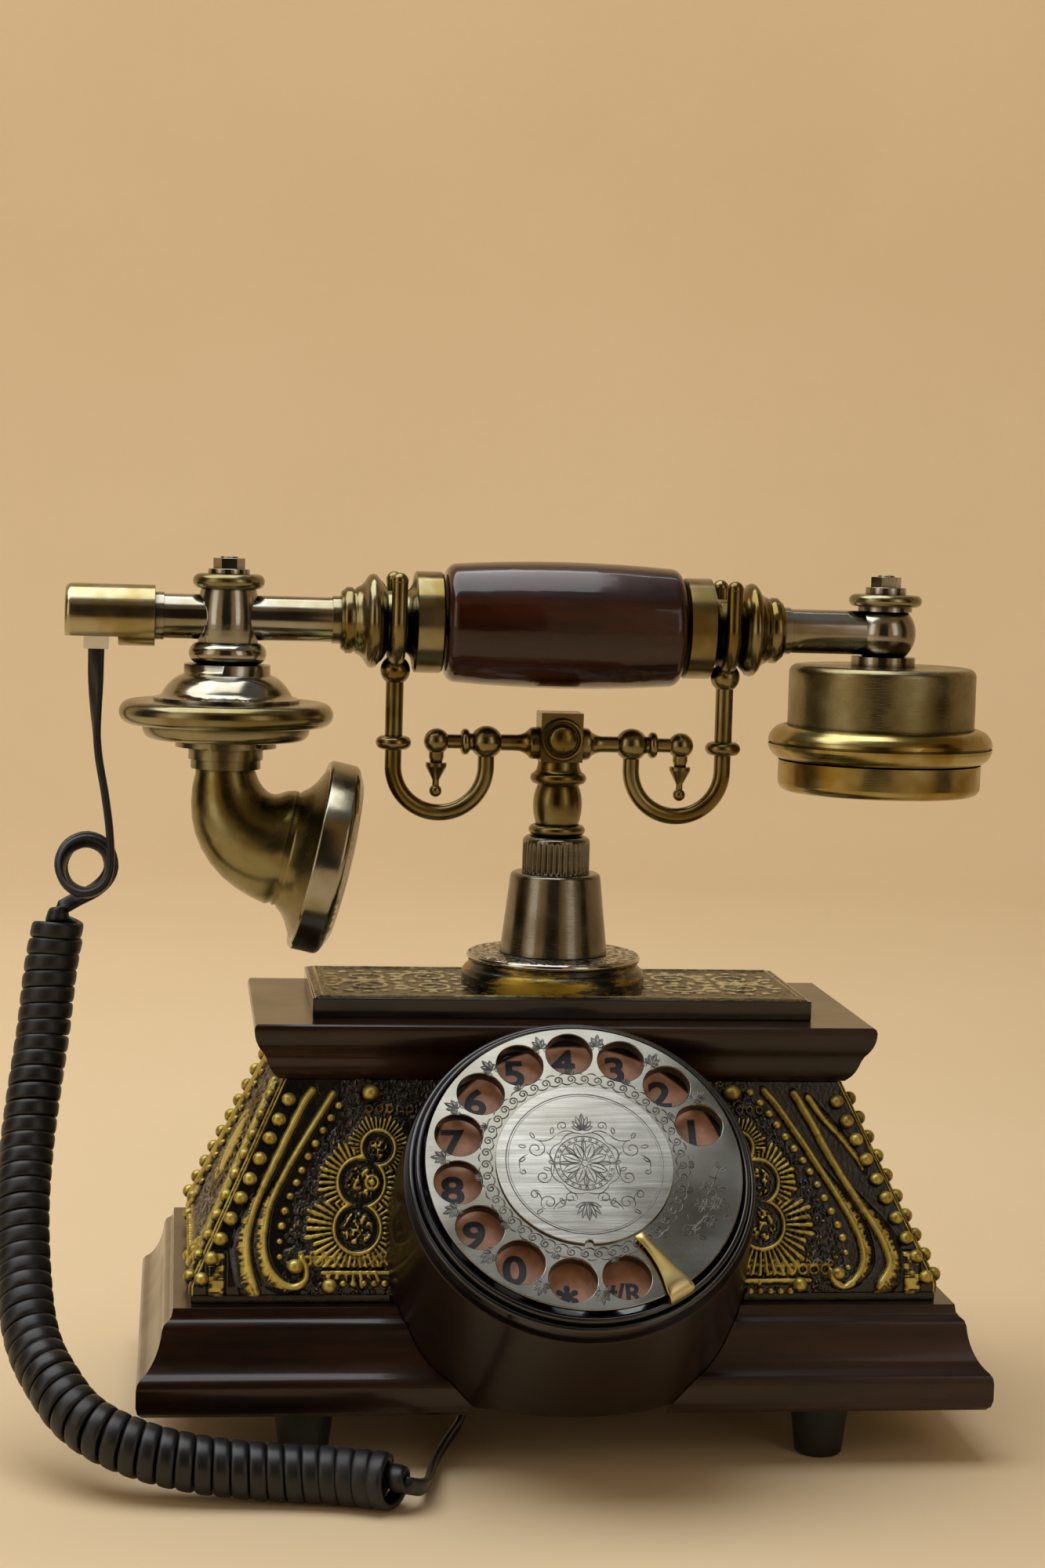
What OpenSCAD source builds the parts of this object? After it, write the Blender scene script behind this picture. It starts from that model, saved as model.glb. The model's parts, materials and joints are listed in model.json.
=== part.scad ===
// Ornamental table telephone: moulded plinth, relief body, canted dial, stem cradle and a horn handset.

/* [Plinth and body] */
// Width of the plinth
plinth_w = 240; // [220:1:260]
// Depth of the plinth
plinth_d = 135; // [130:1:150]
// Height of the rubber feet
foot_h = 16; // [12:1:20]
// Distance of the feet from the middle, along the width
foot_x = 73.5; // [65:0.5:80]
// Distance of the feet from the middle, along the depth
foot_y = 52; // [51:0.5:53]
// Height of the plinth
plinth_h = 28.3; // [26:0.1:32]
// Width of the plinth's inner opening
opening_w = 180; // [170:1:186]
// Width of the body where it meets the plinth
body_w = 211; // [205:1:214]
// Depth of the body where it meets the plinth
body_d = 107; // [104:1:109]
// Height of the body
body_h = 59.5; // [56:0.5:63]
// Thickness of the body's wall
body_wall = 5; // [3:0.5:7]
// Width of the cornice
cornice_w = 178; // [172:1:184]
// Depth of the cornice
cornice_d = 83; // [80:1:86]
// Height of the cornice
cornice_h = 16.6; // [15:0.1:20]
// Width of the ornamental deck plate
deck_w = 144.6; // [130:0.2:160]
// Depth of the ornamental deck plate
deck_d = 57.8; // [55.8:0.2:64]
// Thickness of the ornamental deck plate
deck_h = 5.6; // [4:0.2:8]

/* [Stem] */
// Radius of the boss under the stem
boss_r = 27.1; // [26.5:0.1:27.7]
// Height of the boss
boss_h = 7.2; // [5:0.2:9]
// Radius of the stem's dark disc
disc_r = 25.8; // [20:0.1:26.3]
// Thickness of the disc
disc_h = 2.3; // [1.5:0.1:4]
// Radius of the conical socket at its foot
cone_foot_r = 15.9; // [14:0.1:18]
// Radius of the conical socket at its top
cone_top_r = 13.4; // [11:0.1:15]
// Height of the conical socket
cone_h = 24; // [20:0.5:30]
// Radius of the knurled collar
collar_r = 9.95; // [8.5:0.05:11]
// Height of the knurled collar
collar_h = 10.8; // [8:0.2:14]
// Radius of the rod that slides in the stem
rod_r = 3; // [2.5:0.1:3.5]
// Radius of the tube that guides the rod
guide_r = 6; // [5:0.1:6.5]
// How far the cradle rises when the handset is lifted
cradle_travel = 4; // [2:0.5:5]

/* [Cradle] */
// Height of the cradle's post, from the knurled collar to its square head's top
post_h = 36.6; // [35:0.2:39]
// Side of the square head
head_w = 12.4; // [11:0.2:14]
// Distance of the forks from the stem
fork_x = 49; // [48.6:0.1:49.4]
// Distance of the large arm balls from the stem
ball_x = 21.6; // [20:0.1:23]
// Radius of the large arm balls
ball_r = 4.85; // [4.4:0.05:5.4]
// Radius of the hook's bar
hook_r = 2.45; // [2.2:0.05:2.7]
// Radius of a fork's prongs
prong_r = 2.3; // [2:0.05:2.6]
// Height of the prongs above the handset's middle line
prong_h = 12; // [10:0.5:14]

/* [Handset] */
// Height of the handset's middle line above the cradle post's head
handset_rise = 25.5; // [25.2:0.1:27]
// Half the length of the wooden grip
grip_half = 34.9; // [34:0.1:35.2]
// Radius of the grip at its middle
grip_r = 18.6; // [17:0.1:20]
// Radius of the grip at its ends
grip_end_r = 17.4; // [16.4:0.1:18]
// Radius of the metal ferrules beside the grip
ferrule_r = 14.8; // [13.5:0.1:15.5]
// Radius of the handset's neck that lies in the fork
neck_r = 8.9; // [8.5:0.05:9.2]
// Radius of the collar's widest bead
bead_r = 13.8; // [13:0.1:15]
// Radius of the side tubes
tube_r = 6.5; // [6:0.1:7]
// Radius of the tube inside the grip
spine_r = 4; // [3.6:0.1:4.4]
// Distance of the mouthpiece's axis from the stem
mouth_x = 97.8; // [96:0.1:100]
// Distance of the earpiece's axis from the stem
ear_x = 96.7; // [95:0.1:99]
// Distance of the end cap's outer face from the stem
end_x = 144.4; // [142:0.1:148]
// Length of the end cap
end_cap_l = 25.6; // [24:0.1:26.5]
// Radius of the end cap
end_cap_r = 8.85; // [8.4:0.05:9.4]
// Radius of the mouthpiece's saucer
saucer_r = 31; // [27:0.2:34]
// Radius of the mouthpiece cap
mouth_cap_r = 28.2; // [27:0.1:30]
// Downward tilt of the mouthpiece's face
mouth_tilt = 12.3; // [8:0.5:16]
// Radius of the earpiece's cup
ear_cup_r = 27.8; // [26:0.1:29]
// Radius of the earpiece's ring
ear_ring_r = 33.4; // [32:0.1:35]
// Radius of the bolts that clamp the mouthpiece and the earpiece
bolt_r = 2.5; // [2:0.1:3]

/* [Dial] */
// Angle of the dial's axis above the horizontal
dial_tilt = 42.3; // [40:0.5:45]
// Distance of the wheel's face from the stem axis, along the depth
dial_reach = 76.4; // [75:0.2:78]
// Height of the wheel's middle above the plinth's underside
dial_rise = 72.8; // [70:0.5:73.5]
// Radius of the finger wheel
wheel_r = 43.5; // [42.5:0.1:43.6]
// Thickness of the finger wheel
wheel_t = 1.2; // [1:0.1:1.6]
// Number of finger holes
hole_count = 12; // [10:1:12]
// Radius of a finger hole
hole_r = 6.55; // [6:0.05:6.8]
// Radius of the circle of finger holes
hole_ring_r = 35.1; // [34.5:0.1:35.6]
// Angle between finger holes
hole_step = 24; // [23:0.5:24.5]
// Angle of the first finger hole
first_hole = 20.9; // [18:0.5:23]
// Radius of the centre plate
centre_r = 24.4; // [20:0.1:26]
// Depth of the number plate below the wheel's face
plate_depth = 5.5; // [5:0.1:7]
// Outer radius of the black bezel
bezel_r = 47.8; // [47:0.1:48]
// Radius of the drum at the dial's face
drum_r = 47.9; // [47.5:0.1:48.5]
// Growth of the drum's radius along its depth
drum_flare = 0.1; // [0.05:0.01:0.12]
// Thickness of the drum's wall
drum_wall = 3; // [2:0.2:3.4]
// Radius of the dial's shaft
shaft_r = 3; // [2.4:0.1:3.4]
// Module of the dial's gears
gear_module = 0.8; // [0.7:0.05:0.85]
// Teeth of the large gears
main_teeth = 48; // [40:1:50]
// Teeth of the governor's wheel
idler_teeth = 36; // [30:1:40]
// Teeth of the pinions
pinion_teeth = 12; // [10:1:14]

/* [Cord] */
// Outer radius of the curly cord's coil
coil_r = 7.75; // [7:0.05:8]
// Radius of the cord's straight ends
lead_r = 1.9; // [1.6:0.1:2.2]

/* [Hidden] */
$fn = 72;
eps = 0.01;
clear = 0.2;
running = 0.05;
face_gap = 0.3;

// Levels of the static stack, from the desk up
plinth_z = foot_h;
body_z = plinth_z + plinth_h;
cornice_z = body_z + body_h;
deck_z = cornice_z + cornice_h;
boss_z = deck_z + deck_h;
disc_z = boss_z + boss_h;
cone_z = disc_z + disc_h;
collar_z = cone_z + cone_h;
post_z = collar_z + collar_h;
head_z = post_z + post_h;
handset_z = head_z + handset_rise;

// Levels within the cradle
arm_z = head_z - 9.3;
hook_z = arm_z - 7.3;
hook_bend_r = (fork_x - ball_x) / 2;
hook_mid_x = (fork_x + ball_x) / 2;
fork_bend_r = neck_r + face_gap + prong_r;
fork_ring_z = handset_z - 37.4;
fork_foot_z = handset_z - fork_bend_r - 2.7;

// Levels and places within the handset
tee_top_z = handset_z + 8.3;
tee_foot_z = handset_z - 7.2;
mouth_ring_h = 4.3;
ear_ring_cap_h = 3.6;
mouth_washer_h = 1.4;
ear_washer_h = 2.1;
nut_h = 3.1;
nut_r = 4.6;
bell_z = handset_z - 24.3;
saucer_z = handset_z - 31.2;
horn_z = handset_z - 43.8;
horn_start_r = 8.65;
horn_middle_r = 14;
horn_neck_r = 17.2;
horn_wall = 1.5;
horn_flare = [[0.7, 16.4], [1.4, 17.2], [2.1, 16.7], [2.8, 17.5], [4.5, 18.8], [6.2, 21], [7.5, 23.5],
              [8.6, mouth_cap_r - 2.7]];
horn_end = [-mouth_x + 24.8, horn_z - 24.75];
horn_rear = horn_end - 8.6 * [cos(mouth_tilt), -sin(mouth_tilt)];
ear_cup_z = handset_z - 27.8;
ear_cup_h = 18;
ear_ring_z = handset_z - 38.4;
ear_cap_z = handset_z - 47.6;
ear_cap_r = ear_ring_r - 3.3;
flange_r = tube_r + 0.45;
ferrule_x = grip_half + 0.7;
ferrule_l = 7.9;
collar_end_x = ferrule_x + 29.6;
flange_l = 2.5;
end_cap_x = end_x - end_cap_l;
end_flat_l = 15.2;

// Places within the base
opening_d = 2 * (foot_y - 18);
rebate_w = opening_w + 20;
rebate_d = opening_d + 16;
cover_h = 2.5;
drum_foot_z = plinth_z + cover_h + clear;
body_slope_w = 25.5;
body_slope_d = 20;
drum_back_y = body_slope_d + 3.5 - body_d / 2;
board_z = plinth_z + cover_h + 6;
speaker_at = [34 - opening_w / 2, 6];
board_at = [opening_w / 2 - 40, 12];
jack_at = [-24, -14];
line_jack_x = 60;

// Rod, spring and switch under the cornice
rod_top_z = post_z + 9;
rod_foot_z = cornice_z - 36;
guide_foot_z = cornice_z - 8;
bracket_z = cornice_z - 32;
bracket_t = 1.5;
bracket_half = 14;
rod_flange_r = 5.4;
rod_flange_h = 1.5;
rod_flange_z = guide_foot_z - cradle_travel - face_gap - rod_flange_h;
spring_wire = 0.7;
spring_turns = 5;

// Depths along the dial's axis, below the wheel's face
drum_rim = 9;
bezel_top = 1.8;
bezel_foot = 14;
bezel_bore = wheel_r + 0.7;
ledge_depth = plate_depth + 1;
frame_depth = 10.5;
frame_t = 1.5;
frame_r = wheel_r + 0.4;
spigot_r = drum_r + drum_flare * drum_rim - drum_wall - clear;
main_depth = 16;
idler_depth = 21;
gear_t = 2;
bridge_depth = 27.5;
bridge_r = frame_r - 6;
arbor_r = 1.5;
idler_turn = 215;
governor_turn = 300;
idler_at = gear_centre(main_teeth, pinion_teeth) * [cos(idler_turn), sin(idler_turn)];
governor_at = idler_at
    + gear_centre(idler_teeth, pinion_teeth) * [cos(governor_turn), sin(governor_turn)];
governor_r = 7;
spring_outer_r = 15;
spring_angle = 20;
pillar_angles = [60, 170, 330];
pillar_r = 2;
stop_angle = 301;
stop_foot_r = bezel_bore + 0.2;
stop_t = 1.4;

// The stem stands off the origin, so that the origin lies under the middle of the whole telephone
front_reach = dial_reach + wheel_r * sin(dial_tilt);
stem_x = (end_x - ear_x - ear_ring_r) / 2;
stem_y = (front_reach - plinth_d / 2) / 2;

// Route of the handset's cord, from the end cap down and round to the base
plug_at = [-135.5, 0, 222.5];
tail_route = [plug_at, [-135.5, 0, 214], [-135.5, 0, 200], [-135, 0, 188], [-134.5, 0, 177],
              [-136, 1, 166], [-140, 2, 154]];
coil_route = [[-140, 2, 154], [-144, 2, 147], [-147, 0, 131], [-149, -5, 111], [-151, -12, 95],
              [-152.5, -19, 80], [-153, -29, 65], [-152, -39, 51], [-150, -50, 39.5], [-147, -58, 32],
              [-142, -67, 26], [-136, -75, 20.5], [-128, -81, 16.5], [-117, -85, 13], [-105, -87, 10.5],
              [-93, -88, 9], [-81, -89, 8.2], [-68, -91, 8], [-56, -95, 8], [-48, -100, 8]];
lead_route = [[-48, -100, 8], [-44, -94, 5.5], [-41, -82, 3], [-38, -66, 2.4], [-33, -48, 2.4],
              [-28, -32, 2.4], [-25, -21, 4.5], [-24, -15, 9.5], [jack_at[0], jack_at[1], 14],
              [jack_at[0], jack_at[1], plinth_z + 3]];

// Moulded edges: each point is [inset from the widest outline, height]
plinth_cove = curve([2.2, 11.4], [6, 15.4], [6.8, 22.8]);
plinth_edge = concat([[1.7, 0], [0.5, 1.2], [0, 3.2], [0, 7.8], [0.3, 9.5], [1, 10.5]], plinth_cove,
                     [[7.3, 24.2], [8.6, 25.1], [9.3, 26], [9.7, plinth_h]]);
cornice_cove = curve([6.1, 1.3], [4.6, 3], [3.6, 6.4]);
cornice_swell = curve([2.8, 8], [0.5, 10.6], [0.1, 13.8]);
cornice_edge = concat([[7.4, 0]], cornice_cove, cornice_swell, [[0, 15.2], [0.3, 16.2], [0.9, cornice_h]]);
body_edge_w = [[0, 0], [0, 5], [body_slope_w, body_h]];
body_edge_d = [[0, 0], [0, 5], [body_slope_d, body_h]];

function gear_centre(a, b) = gear_module * (a + b) / 2;
function quad(p, q, r, t) = (1 - t) * (1 - t) * p + 2 * t * (1 - t) * q + t * t * r;
function curve(p, q, r) = [for (t = [0 : 0.125 : 1]) quad(p, q, r, t)];
function outline(half, edge) =
    concat([for (p = edge) [half - p[0], p[1]]],
           [for (i = [len(edge) - 1 : -1 : 0]) [edge[i][0] - half, edge[i][1]]]);

// Half of a round moulding's section, from its low side to its high side, for a rotate_extrude
function half_round(r, low, high) =
    let (h = (high - low) / 2)
    [for (a = [-90 : 15 : 90]) [r - h + h * cos(a), low + h + h * sin(a)]];

// Quarter of a circle of the given radius that ends a turned profile at its outer corner
function corner(r, z, fillet, from, to) =
    [for (a = [from : 15 : to]) [r - fillet + fillet * cos(a), z + fillet * sin(a)]];

// Outline of a spur gear whose teeth leave backlash on both flanks
function gear_outline(teeth) =
    let (pitch_r = gear_module * teeth / 2, step = 360 / teeth)
    [for (i = [0 : teeth - 1], k = [0 : 3])
        let (r = pitch_r + gear_module * (k == 1 || k == 2 ? 0.85 : -1.1),
             a = step * (i + [-0.34, -0.11, 0.11, 0.34][k]))
        r * [cos(a), sin(a)]];

// Points and faces of a tube swept along a route, with a ring of given sides and radius at each point
function unit(v) = v / norm(v);
function along(route, i) = unit(route[min(i + 1, len(route) - 1)] - route[max(i - 1, 0)]);
function sideways(d) = unit(cross(d, abs(d[1]) < 0.9 ? [0, 1, 0] : [1, 0, 0]));
function ring_points(at, dir, r, sides) =
    let (u = sideways(dir), v = cross(u, dir))
    [for (k = [0 : sides - 1]) at + r * (cos(360 * k / sides) * u + sin(360 * k / sides) * v)];
function tube_faces(rings, sides) = concat(
    [[for (k = [sides - 1 : -1 : 0]) k]],
    [[for (k = [0 : sides - 1]) (rings - 1) * sides + k]],
    [for (i = [0 : rings - 2], k = [0 : sides - 1])
        let (a = i * sides + k, b = i * sides + (k + 1) % sides)
        [a, b, b + sides, a + sides]]);

function rings_along(route, radii, sides) =
    [for (i = [0 : len(route) - 1]) ring_points(route[i], along(route, i), radii[i], sides)];
module skin(rings, sides) polyhedron([for (ring = rings) each ring], tube_faces(len(rings), sides));
module swept(route, radii, sides) skin(rings_along(route, radii, sides), sides);

// Frames: every piece is drawn about the stem's axis, then moved to the telephone's origin
module at_stem() translate([stem_x, stem_y, 0]) children();
module on_dial() translate([0, -dial_reach, plinth_z + dial_rise]) rotate([90 - dial_tilt, 0, 0]) children();
module on_handset() translate([0, 0, handset_z]) rotate([0, 90, 0]) children();
module both_ends() for (side = [0, 1]) mirror([side, 0, 0]) children();

module mitred(half_w, half_d, edge_w, edge_d) {
    intersection() {
        rotate([90, 0, 0]) linear_extrude(2 * half_d + 2, center = true) polygon(outline(half_w, edge_w));
        rotate([90, 0, 90]) linear_extrude(2 * half_w + 2, center = true) polygon(outline(half_d, edge_d));
    }
}

// A disc whose rim is fully rounded
module bead_disc(r, h) rotate_extrude() {
    square([r - h / 2, h]);
    translate([r - h / 2, h / 2]) circle(h / 2);
}

// A pattern of small holes: one in the middle and rings of six, twelve and so on
module sound_holes(rings, pitch, r, h) {
    cylinder(h = h, r = r);
    for (k = [1 : rings], a = [0 : 60 / k : 359])
        translate([pitch * k * cos(a), pitch * k * sin(a), 0]) cylinder(h = h, r = r);
}

module hex_nut(r, h) cylinder(h = h, r = r, $fn = 6);

// The drum's cone, as a solid of the given inset and end depths
function cone_r(depth) = drum_r + drum_flare * depth;
module drum_cone(inset, near, far) {
    translate([0, 0, -far])
        cylinder(h = far - near, r1 = cone_r(far) - inset, r2 = cone_r(near) - inset);
}

// What the base pieces leave free for the drum and, in front of it, for the bezel
module drum_space() intersection() {
    on_dial() {
        drum_cone(-clear, drum_rim - clear, 75);
        translate([0, 0, -drum_rim]) cylinder(h = 60, r = bezel_r + clear);
    }
    translate([-plinth_w, drum_back_y + clear - plinth_d, 0]) cube([2 * plinth_w, plinth_d, 2 * deck_z]);
}

module plinth() color("saddlebrown") at_stem() difference() {
    translate([0, 0, plinth_z]) mitred(plinth_w / 2, plinth_d / 2, plinth_edge, plinth_edge);
    translate([-opening_w / 2, -opening_d / 2, plinth_z - 1]) cube([opening_w, opening_d, plinth_h + 2]);
    translate([-rebate_w / 2, -rebate_d / 2, plinth_z - 1]) cube([rebate_w, rebate_d, cover_h + 1]);
    drum_space();
    for (x = [-foot_x, foot_x], y = [-foot_y, foot_y])
        translate([x, y, plinth_z - eps]) cylinder(h = 9, r = 1.6);
    cover_screw_places() translate([0, 0, cover_h]) cylinder(h = 7, r = 1.4);
    translate([line_jack_x - 8, opening_d / 2 - 1, plinth_z + 5]) cube([16, plinth_d, 14]);
}

module body_shell() color([0.35, 0.28, 0.1]) at_stem() difference() {
    translate([0, 0, body_z])
        mitred(body_w / 2, body_d / 2, body_edge_w, body_edge_d);
    translate([0, 0, body_z])
        mitred(body_w / 2 - body_wall, body_d / 2 - body_wall, body_edge_w, body_edge_d);
    drum_space();
}

module cornice() color([0.3, 0.15, 0.08]) at_stem() difference() {
    translate([0, 0, cornice_z]) mitred(cornice_w / 2, cornice_d / 2, cornice_edge, cornice_edge);
    translate([0, 0, cornice_z - 1]) cylinder(h = cornice_h + 2, r = guide_r);
    drum_space();
}

module deck_plate() color([0.55, 0.45, 0.15]) at_stem() difference() {
    translate([-deck_w / 2, -deck_d / 2, deck_z]) cube([deck_w, deck_d, deck_h]);
    translate([0, 0, deck_z - 1]) cylinder(h = deck_h + 2, r = guide_r);
}

module boss_ring() color([0.6, 0.5, 0.15]) at_stem() difference() {
    translate([0, 0, boss_z]) {
        rotate_extrude() {
            square([boss_r - 2, boss_h]);
            translate([boss_r - 3, 3]) circle(3);
            square([boss_r, 3]);
        }
    }
    translate([0, 0, boss_z - 1]) cylinder(h = boss_h + 2, r = guide_r);
}

module stem_disc() color([0.3, 0.29, 0.26]) at_stem() difference() {
    translate([0, 0, disc_z]) bead_disc(disc_r, disc_h);
    translate([0, 0, disc_z - 1]) cylinder(h = disc_h + 2, r = guide_r);
}

module stem_cone() color([0.35, 0.34, 0.31]) at_stem() difference() {
    translate([0, 0, cone_z]) rotate_extrude()
        polygon(concat([[0, 0], [cone_foot_r, 0]],
                       corner(cone_top_r, cone_h - 1.5, 1.5, 0, 90), [[0, cone_h]]));
    translate([0, 0, cone_z - 1]) cylinder(h = cone_h + 2, r = guide_r);
}

module knurled_collar() color([0.2, 0.19, 0.17]) at_stem() difference() {
    flutes = 40;
    translate([0, 0, collar_z]) union() {
        linear_extrude(collar_h - 1.8)
            polygon([for (i = [0 : 2 * flutes - 1]) let (a = 180 * i / flutes)
                     (collar_r - (i % 2) * 0.5) * [cos(a), sin(a)]]);
        cylinder(h = collar_h, r = collar_r - 1.2);
    }
    translate([0, 0, collar_z - 1]) cylinder(h = 7, r = guide_r);
    translate([0, 0, collar_z - 1]) cylinder(h = collar_h + 2, r = rod_r + running);
}

module guide_tube() color("silver") at_stem() difference() {
    union() {
        translate([0, 0, guide_foot_z]) cylinder(h = collar_z + 6 - guide_foot_z, r = guide_r);
        translate([0, 0, cornice_z - 5]) hex_nut(guide_r + 4.5, 5);
    }
    translate([0, 0, guide_foot_z - 1]) cylinder(h = collar_z - guide_foot_z + 20, r = rod_r + running);
}

module cover_screw_places() {
    for (x = [-1, 1], y = [-1, 1])
        translate([x * (rebate_w + opening_w) / 4, y * (opening_d / 2 - 6), plinth_z]) children();
}

module bottom_cover() color([0.12, 0.12, 0.12]) at_stem() difference() {
    union() {
        translate([-rebate_w / 2 + clear, -rebate_d / 2 + clear, plinth_z])
            cube([rebate_w - 2 * clear, rebate_d - 2 * clear, cover_h]);
        for (x = [-28, 28], y = [-11, 11])
            translate([board_at[0] + x, board_at[1] + y, plinth_z + cover_h - eps])
                cylinder(h = board_z - plinth_z - cover_h + eps, r = 2.5);
    }
    cover_screw_places() translate([0, 0, -1]) cylinder(h = 9, r = 1.5);
    cover_screw_places() translate([0, 0, -eps]) cylinder(h = 1.6, r1 = 3.2, r2 = 1.5);
    translate([jack_at[0] - 5.4, jack_at[1] - 4.4, plinth_z - 1]) cube([10.8, 8.8, cover_h + 2]);
    translate([speaker_at[0], speaker_at[1], plinth_z - 1]) sound_holes(3, 5, 1.2, cover_h + 2);
}

module foot_places() {
    for (x = [-foot_x, foot_x], y = [-foot_y, foot_y]) translate([x, y, 0]) children();
}

module rubber_feet() color([0.05, 0.05, 0.05]) at_stem() foot_places() difference() {
    rotate_extrude() polygon([[0, 0], [6, 0], [6.7, 0.7], [8.6, foot_h], [0, foot_h]]);
    translate([0, 0, -1]) cylinder(h = 6, r = 3.2);
    translate([0, 0, -1]) cylinder(h = foot_h + 2, r = 1.6);
}

module base_screws() color("dimgray") at_stem() {
    foot_places() translate([0, 0, 3.2]) {
        cylinder(h = 1.8, r = 3);
        cylinder(h = foot_h + 5, r = 1.6);
    }
    cover_screw_places() {
        cylinder(h = 1.6, r1 = 3.1, r2 = 1.4);
        cylinder(h = 9, r = 1.4);
    }
}

module hook_bracket() color("silver") at_stem() difference() {
    h = cornice_z - bracket_z;
    union() {
        translate([-bracket_half, -6, bracket_z]) cube([2 * bracket_half, 12, bracket_t]);
        for (x = [-bracket_half, bracket_half - bracket_t])
            translate([x, -6, bracket_z]) cube([bracket_t, 12, h]);
        for (x = [-bracket_half - 9, bracket_half - bracket_t])
            translate([x, -6, cornice_z - bracket_t]) cube([9 + bracket_t, 12, bracket_t]);
    }
    translate([0, 0, bracket_z - 1]) cylinder(h = bracket_t + 2, r = rod_r + running);
}

module hook_switch() color([0.1, 0.1, 0.1]) at_stem() {
    translate([5.5, -4, bracket_z - 10]) cube([8, 8, 10]);
    translate([-3, -2, rod_foot_z - face_gap - 0.8]) cube([8.5 + eps, 4, 0.8]);
    for (y = [-2.5, 0, 2.5]) translate([8.5, y - 0.4, bracket_z - 14]) cube([2, 0.8, 4]);
}

module circuit_board() color([0.05, 0.3, 0.15]) at_stem() translate([board_at[0], board_at[1], board_z]) {
    translate([-33, -15, 0]) cube([66, 30, 1.6]);
    translate([-12, -6, 1.6]) cube([18, 8, 3]);
    translate([-26, 2, 1.6]) cylinder(h = 9, r = 4);
    translate([18, -4, 1.6]) cylinder(h = 7, r = 3);
    translate([-29, -12, 1.6]) cube([12, 6, 6]);
}

module ringer_speaker() color([0.15, 0.15, 0.17]) at_stem()
translate([speaker_at[0], speaker_at[1], plinth_z + cover_h]) {
    rotate_extrude() polygon([[0, 0], [20, 0], [20, 2], [12, 6], [12, 12], [0, 12]]);
}

module line_jack() color([0.08, 0.08, 0.08]) at_stem() difference() {
    y0 = plinth_d / 2 - 22;
    translate([line_jack_x - 8 + clear, y0, plinth_z + 5 + clear]) cube([16 - 2 * clear, 20, 14 - 2 * clear]);
    translate([line_jack_x - 5, y0 + 7, plinth_z + 8.5]) cube([10, 20, 7]);
    translate([line_jack_x - 2, y0 + 7, plinth_z + 7]) cube([4, 20, 2]);
}

// A small modular plug, drawn upwards from the end that its cord leaves
module cord_plug() {
    translate([-3.6, -3.1, 0]) cube([7.2, 6.2, 11]);
}

module plug_space() translate([-3.8, -3.3, -20]) cube([7.6, 6.6, 31.3]);

module cord_jack() color([0.08, 0.08, 0.08]) at_stem() difference() {
    translate([jack_at[0], jack_at[1], plinth_z]) {
        translate([-5.2, -4.2, 0]) cube([10.4, 8.4, 17]);
        translate([-7, -6, cover_h]) cube([14, 12, 1.5]);
    }
    translate([jack_at[0], jack_at[1], plinth_z + 3]) plug_space();
}

module dial_drum() color([0.3, 0.16, 0.08]) at_stem() intersection() {
    difference() {
        on_dial() drum_cone(0, drum_rim, 75);
        intersection() {
            on_dial() drum_cone(drum_wall, drum_rim - 1, 76);
            translate([-plinth_w / 2, -plinth_d, drum_foot_z + drum_wall])
                cube([plinth_w, 2 * plinth_d, deck_z]);
        }
    }
    translate([-plinth_w / 2, drum_back_y - plinth_d, drum_foot_z]) cube([plinth_w, plinth_d, deck_z]);
}

module finger_stop_leg(slack) {
    rotate([0, 0, stop_angle]) translate([stop_foot_r - slack, -3 - slack, -ledge_depth + 0.1 - slack])
        cube([stop_t + 2 * slack, 6 + 2 * slack, ledge_depth + 2]);
}

module dial_bezel() color([0.06, 0.06, 0.07]) at_stem() on_dial() difference() {
    step = (bezel_r - bezel_bore) / 3;
    rotate_extrude() polygon([
        [bezel_bore, -ledge_depth], [bezel_bore, -bezel_top], [bezel_bore + 0.8 * step, -bezel_top],
        [bezel_bore + step, -bezel_top - 1.6], [bezel_bore + 1.8 * step, -bezel_top - 1.6],
        [bezel_bore + 2 * step, -bezel_top - 3.2], [bezel_bore + 2.8 * step, -bezel_top - 3.2],
        [bezel_r, -bezel_top - 4.8], [bezel_r, -drum_rim], [spigot_r, -drum_rim],
        [spigot_r, -bezel_foot], [frame_r + 0.1, -bezel_foot], [frame_r + 0.1, -frame_depth],
        [frame_r - 5, -frame_depth], [frame_r - 5, -ledge_depth]]);
    finger_stop_leg(0.1);
}

module number_plate() color([0.55, 0.38, 0.27]) at_stem() on_dial() difference() {
    translate([0, 0, -ledge_depth]) cylinder(h = ledge_depth - plate_depth, r = bezel_bore - clear);
    translate([0, 0, -ledge_depth - 1]) cylinder(h = 4, r = shaft_r + 4);
}

module finger_stop() color([0.75, 0.6, 0.25]) at_stem() on_dial() {
    inner_r = centre_r + 1.2;
    outer_r = stop_foot_r + stop_t;
    rotate([0, 0, stop_angle]) translate([0, 0, 0.7]) linear_extrude(stop_t) polygon([
        [inner_r, -0.6], [inner_r + 1.4, -1.3], [inner_r + 10, -1.9], [outer_r - 3, -3], [outer_r, -3],
        [outer_r, 3], [outer_r - 4, 3], [inner_r + 11, 1.4], [inner_r + 2, 1.2], [inner_r, 0.7]]);
    intersection() {
        finger_stop_leg(0);
        translate([0, 0, -ledge_depth]) cylinder(h = ledge_depth + 0.7 + eps, r = outer_r + 5);
    }
}

// Holes of the dial's bearings: the main shaft's and the two arbors'
module bearing_holes(depth, h) translate([0, 0, -depth]) {
    cylinder(h = h, r = shaft_r + running);
    for (at = [idler_at, governor_at]) translate([at[0], at[1], 0]) cylinder(h = h, r = arbor_r + running);
}

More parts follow.
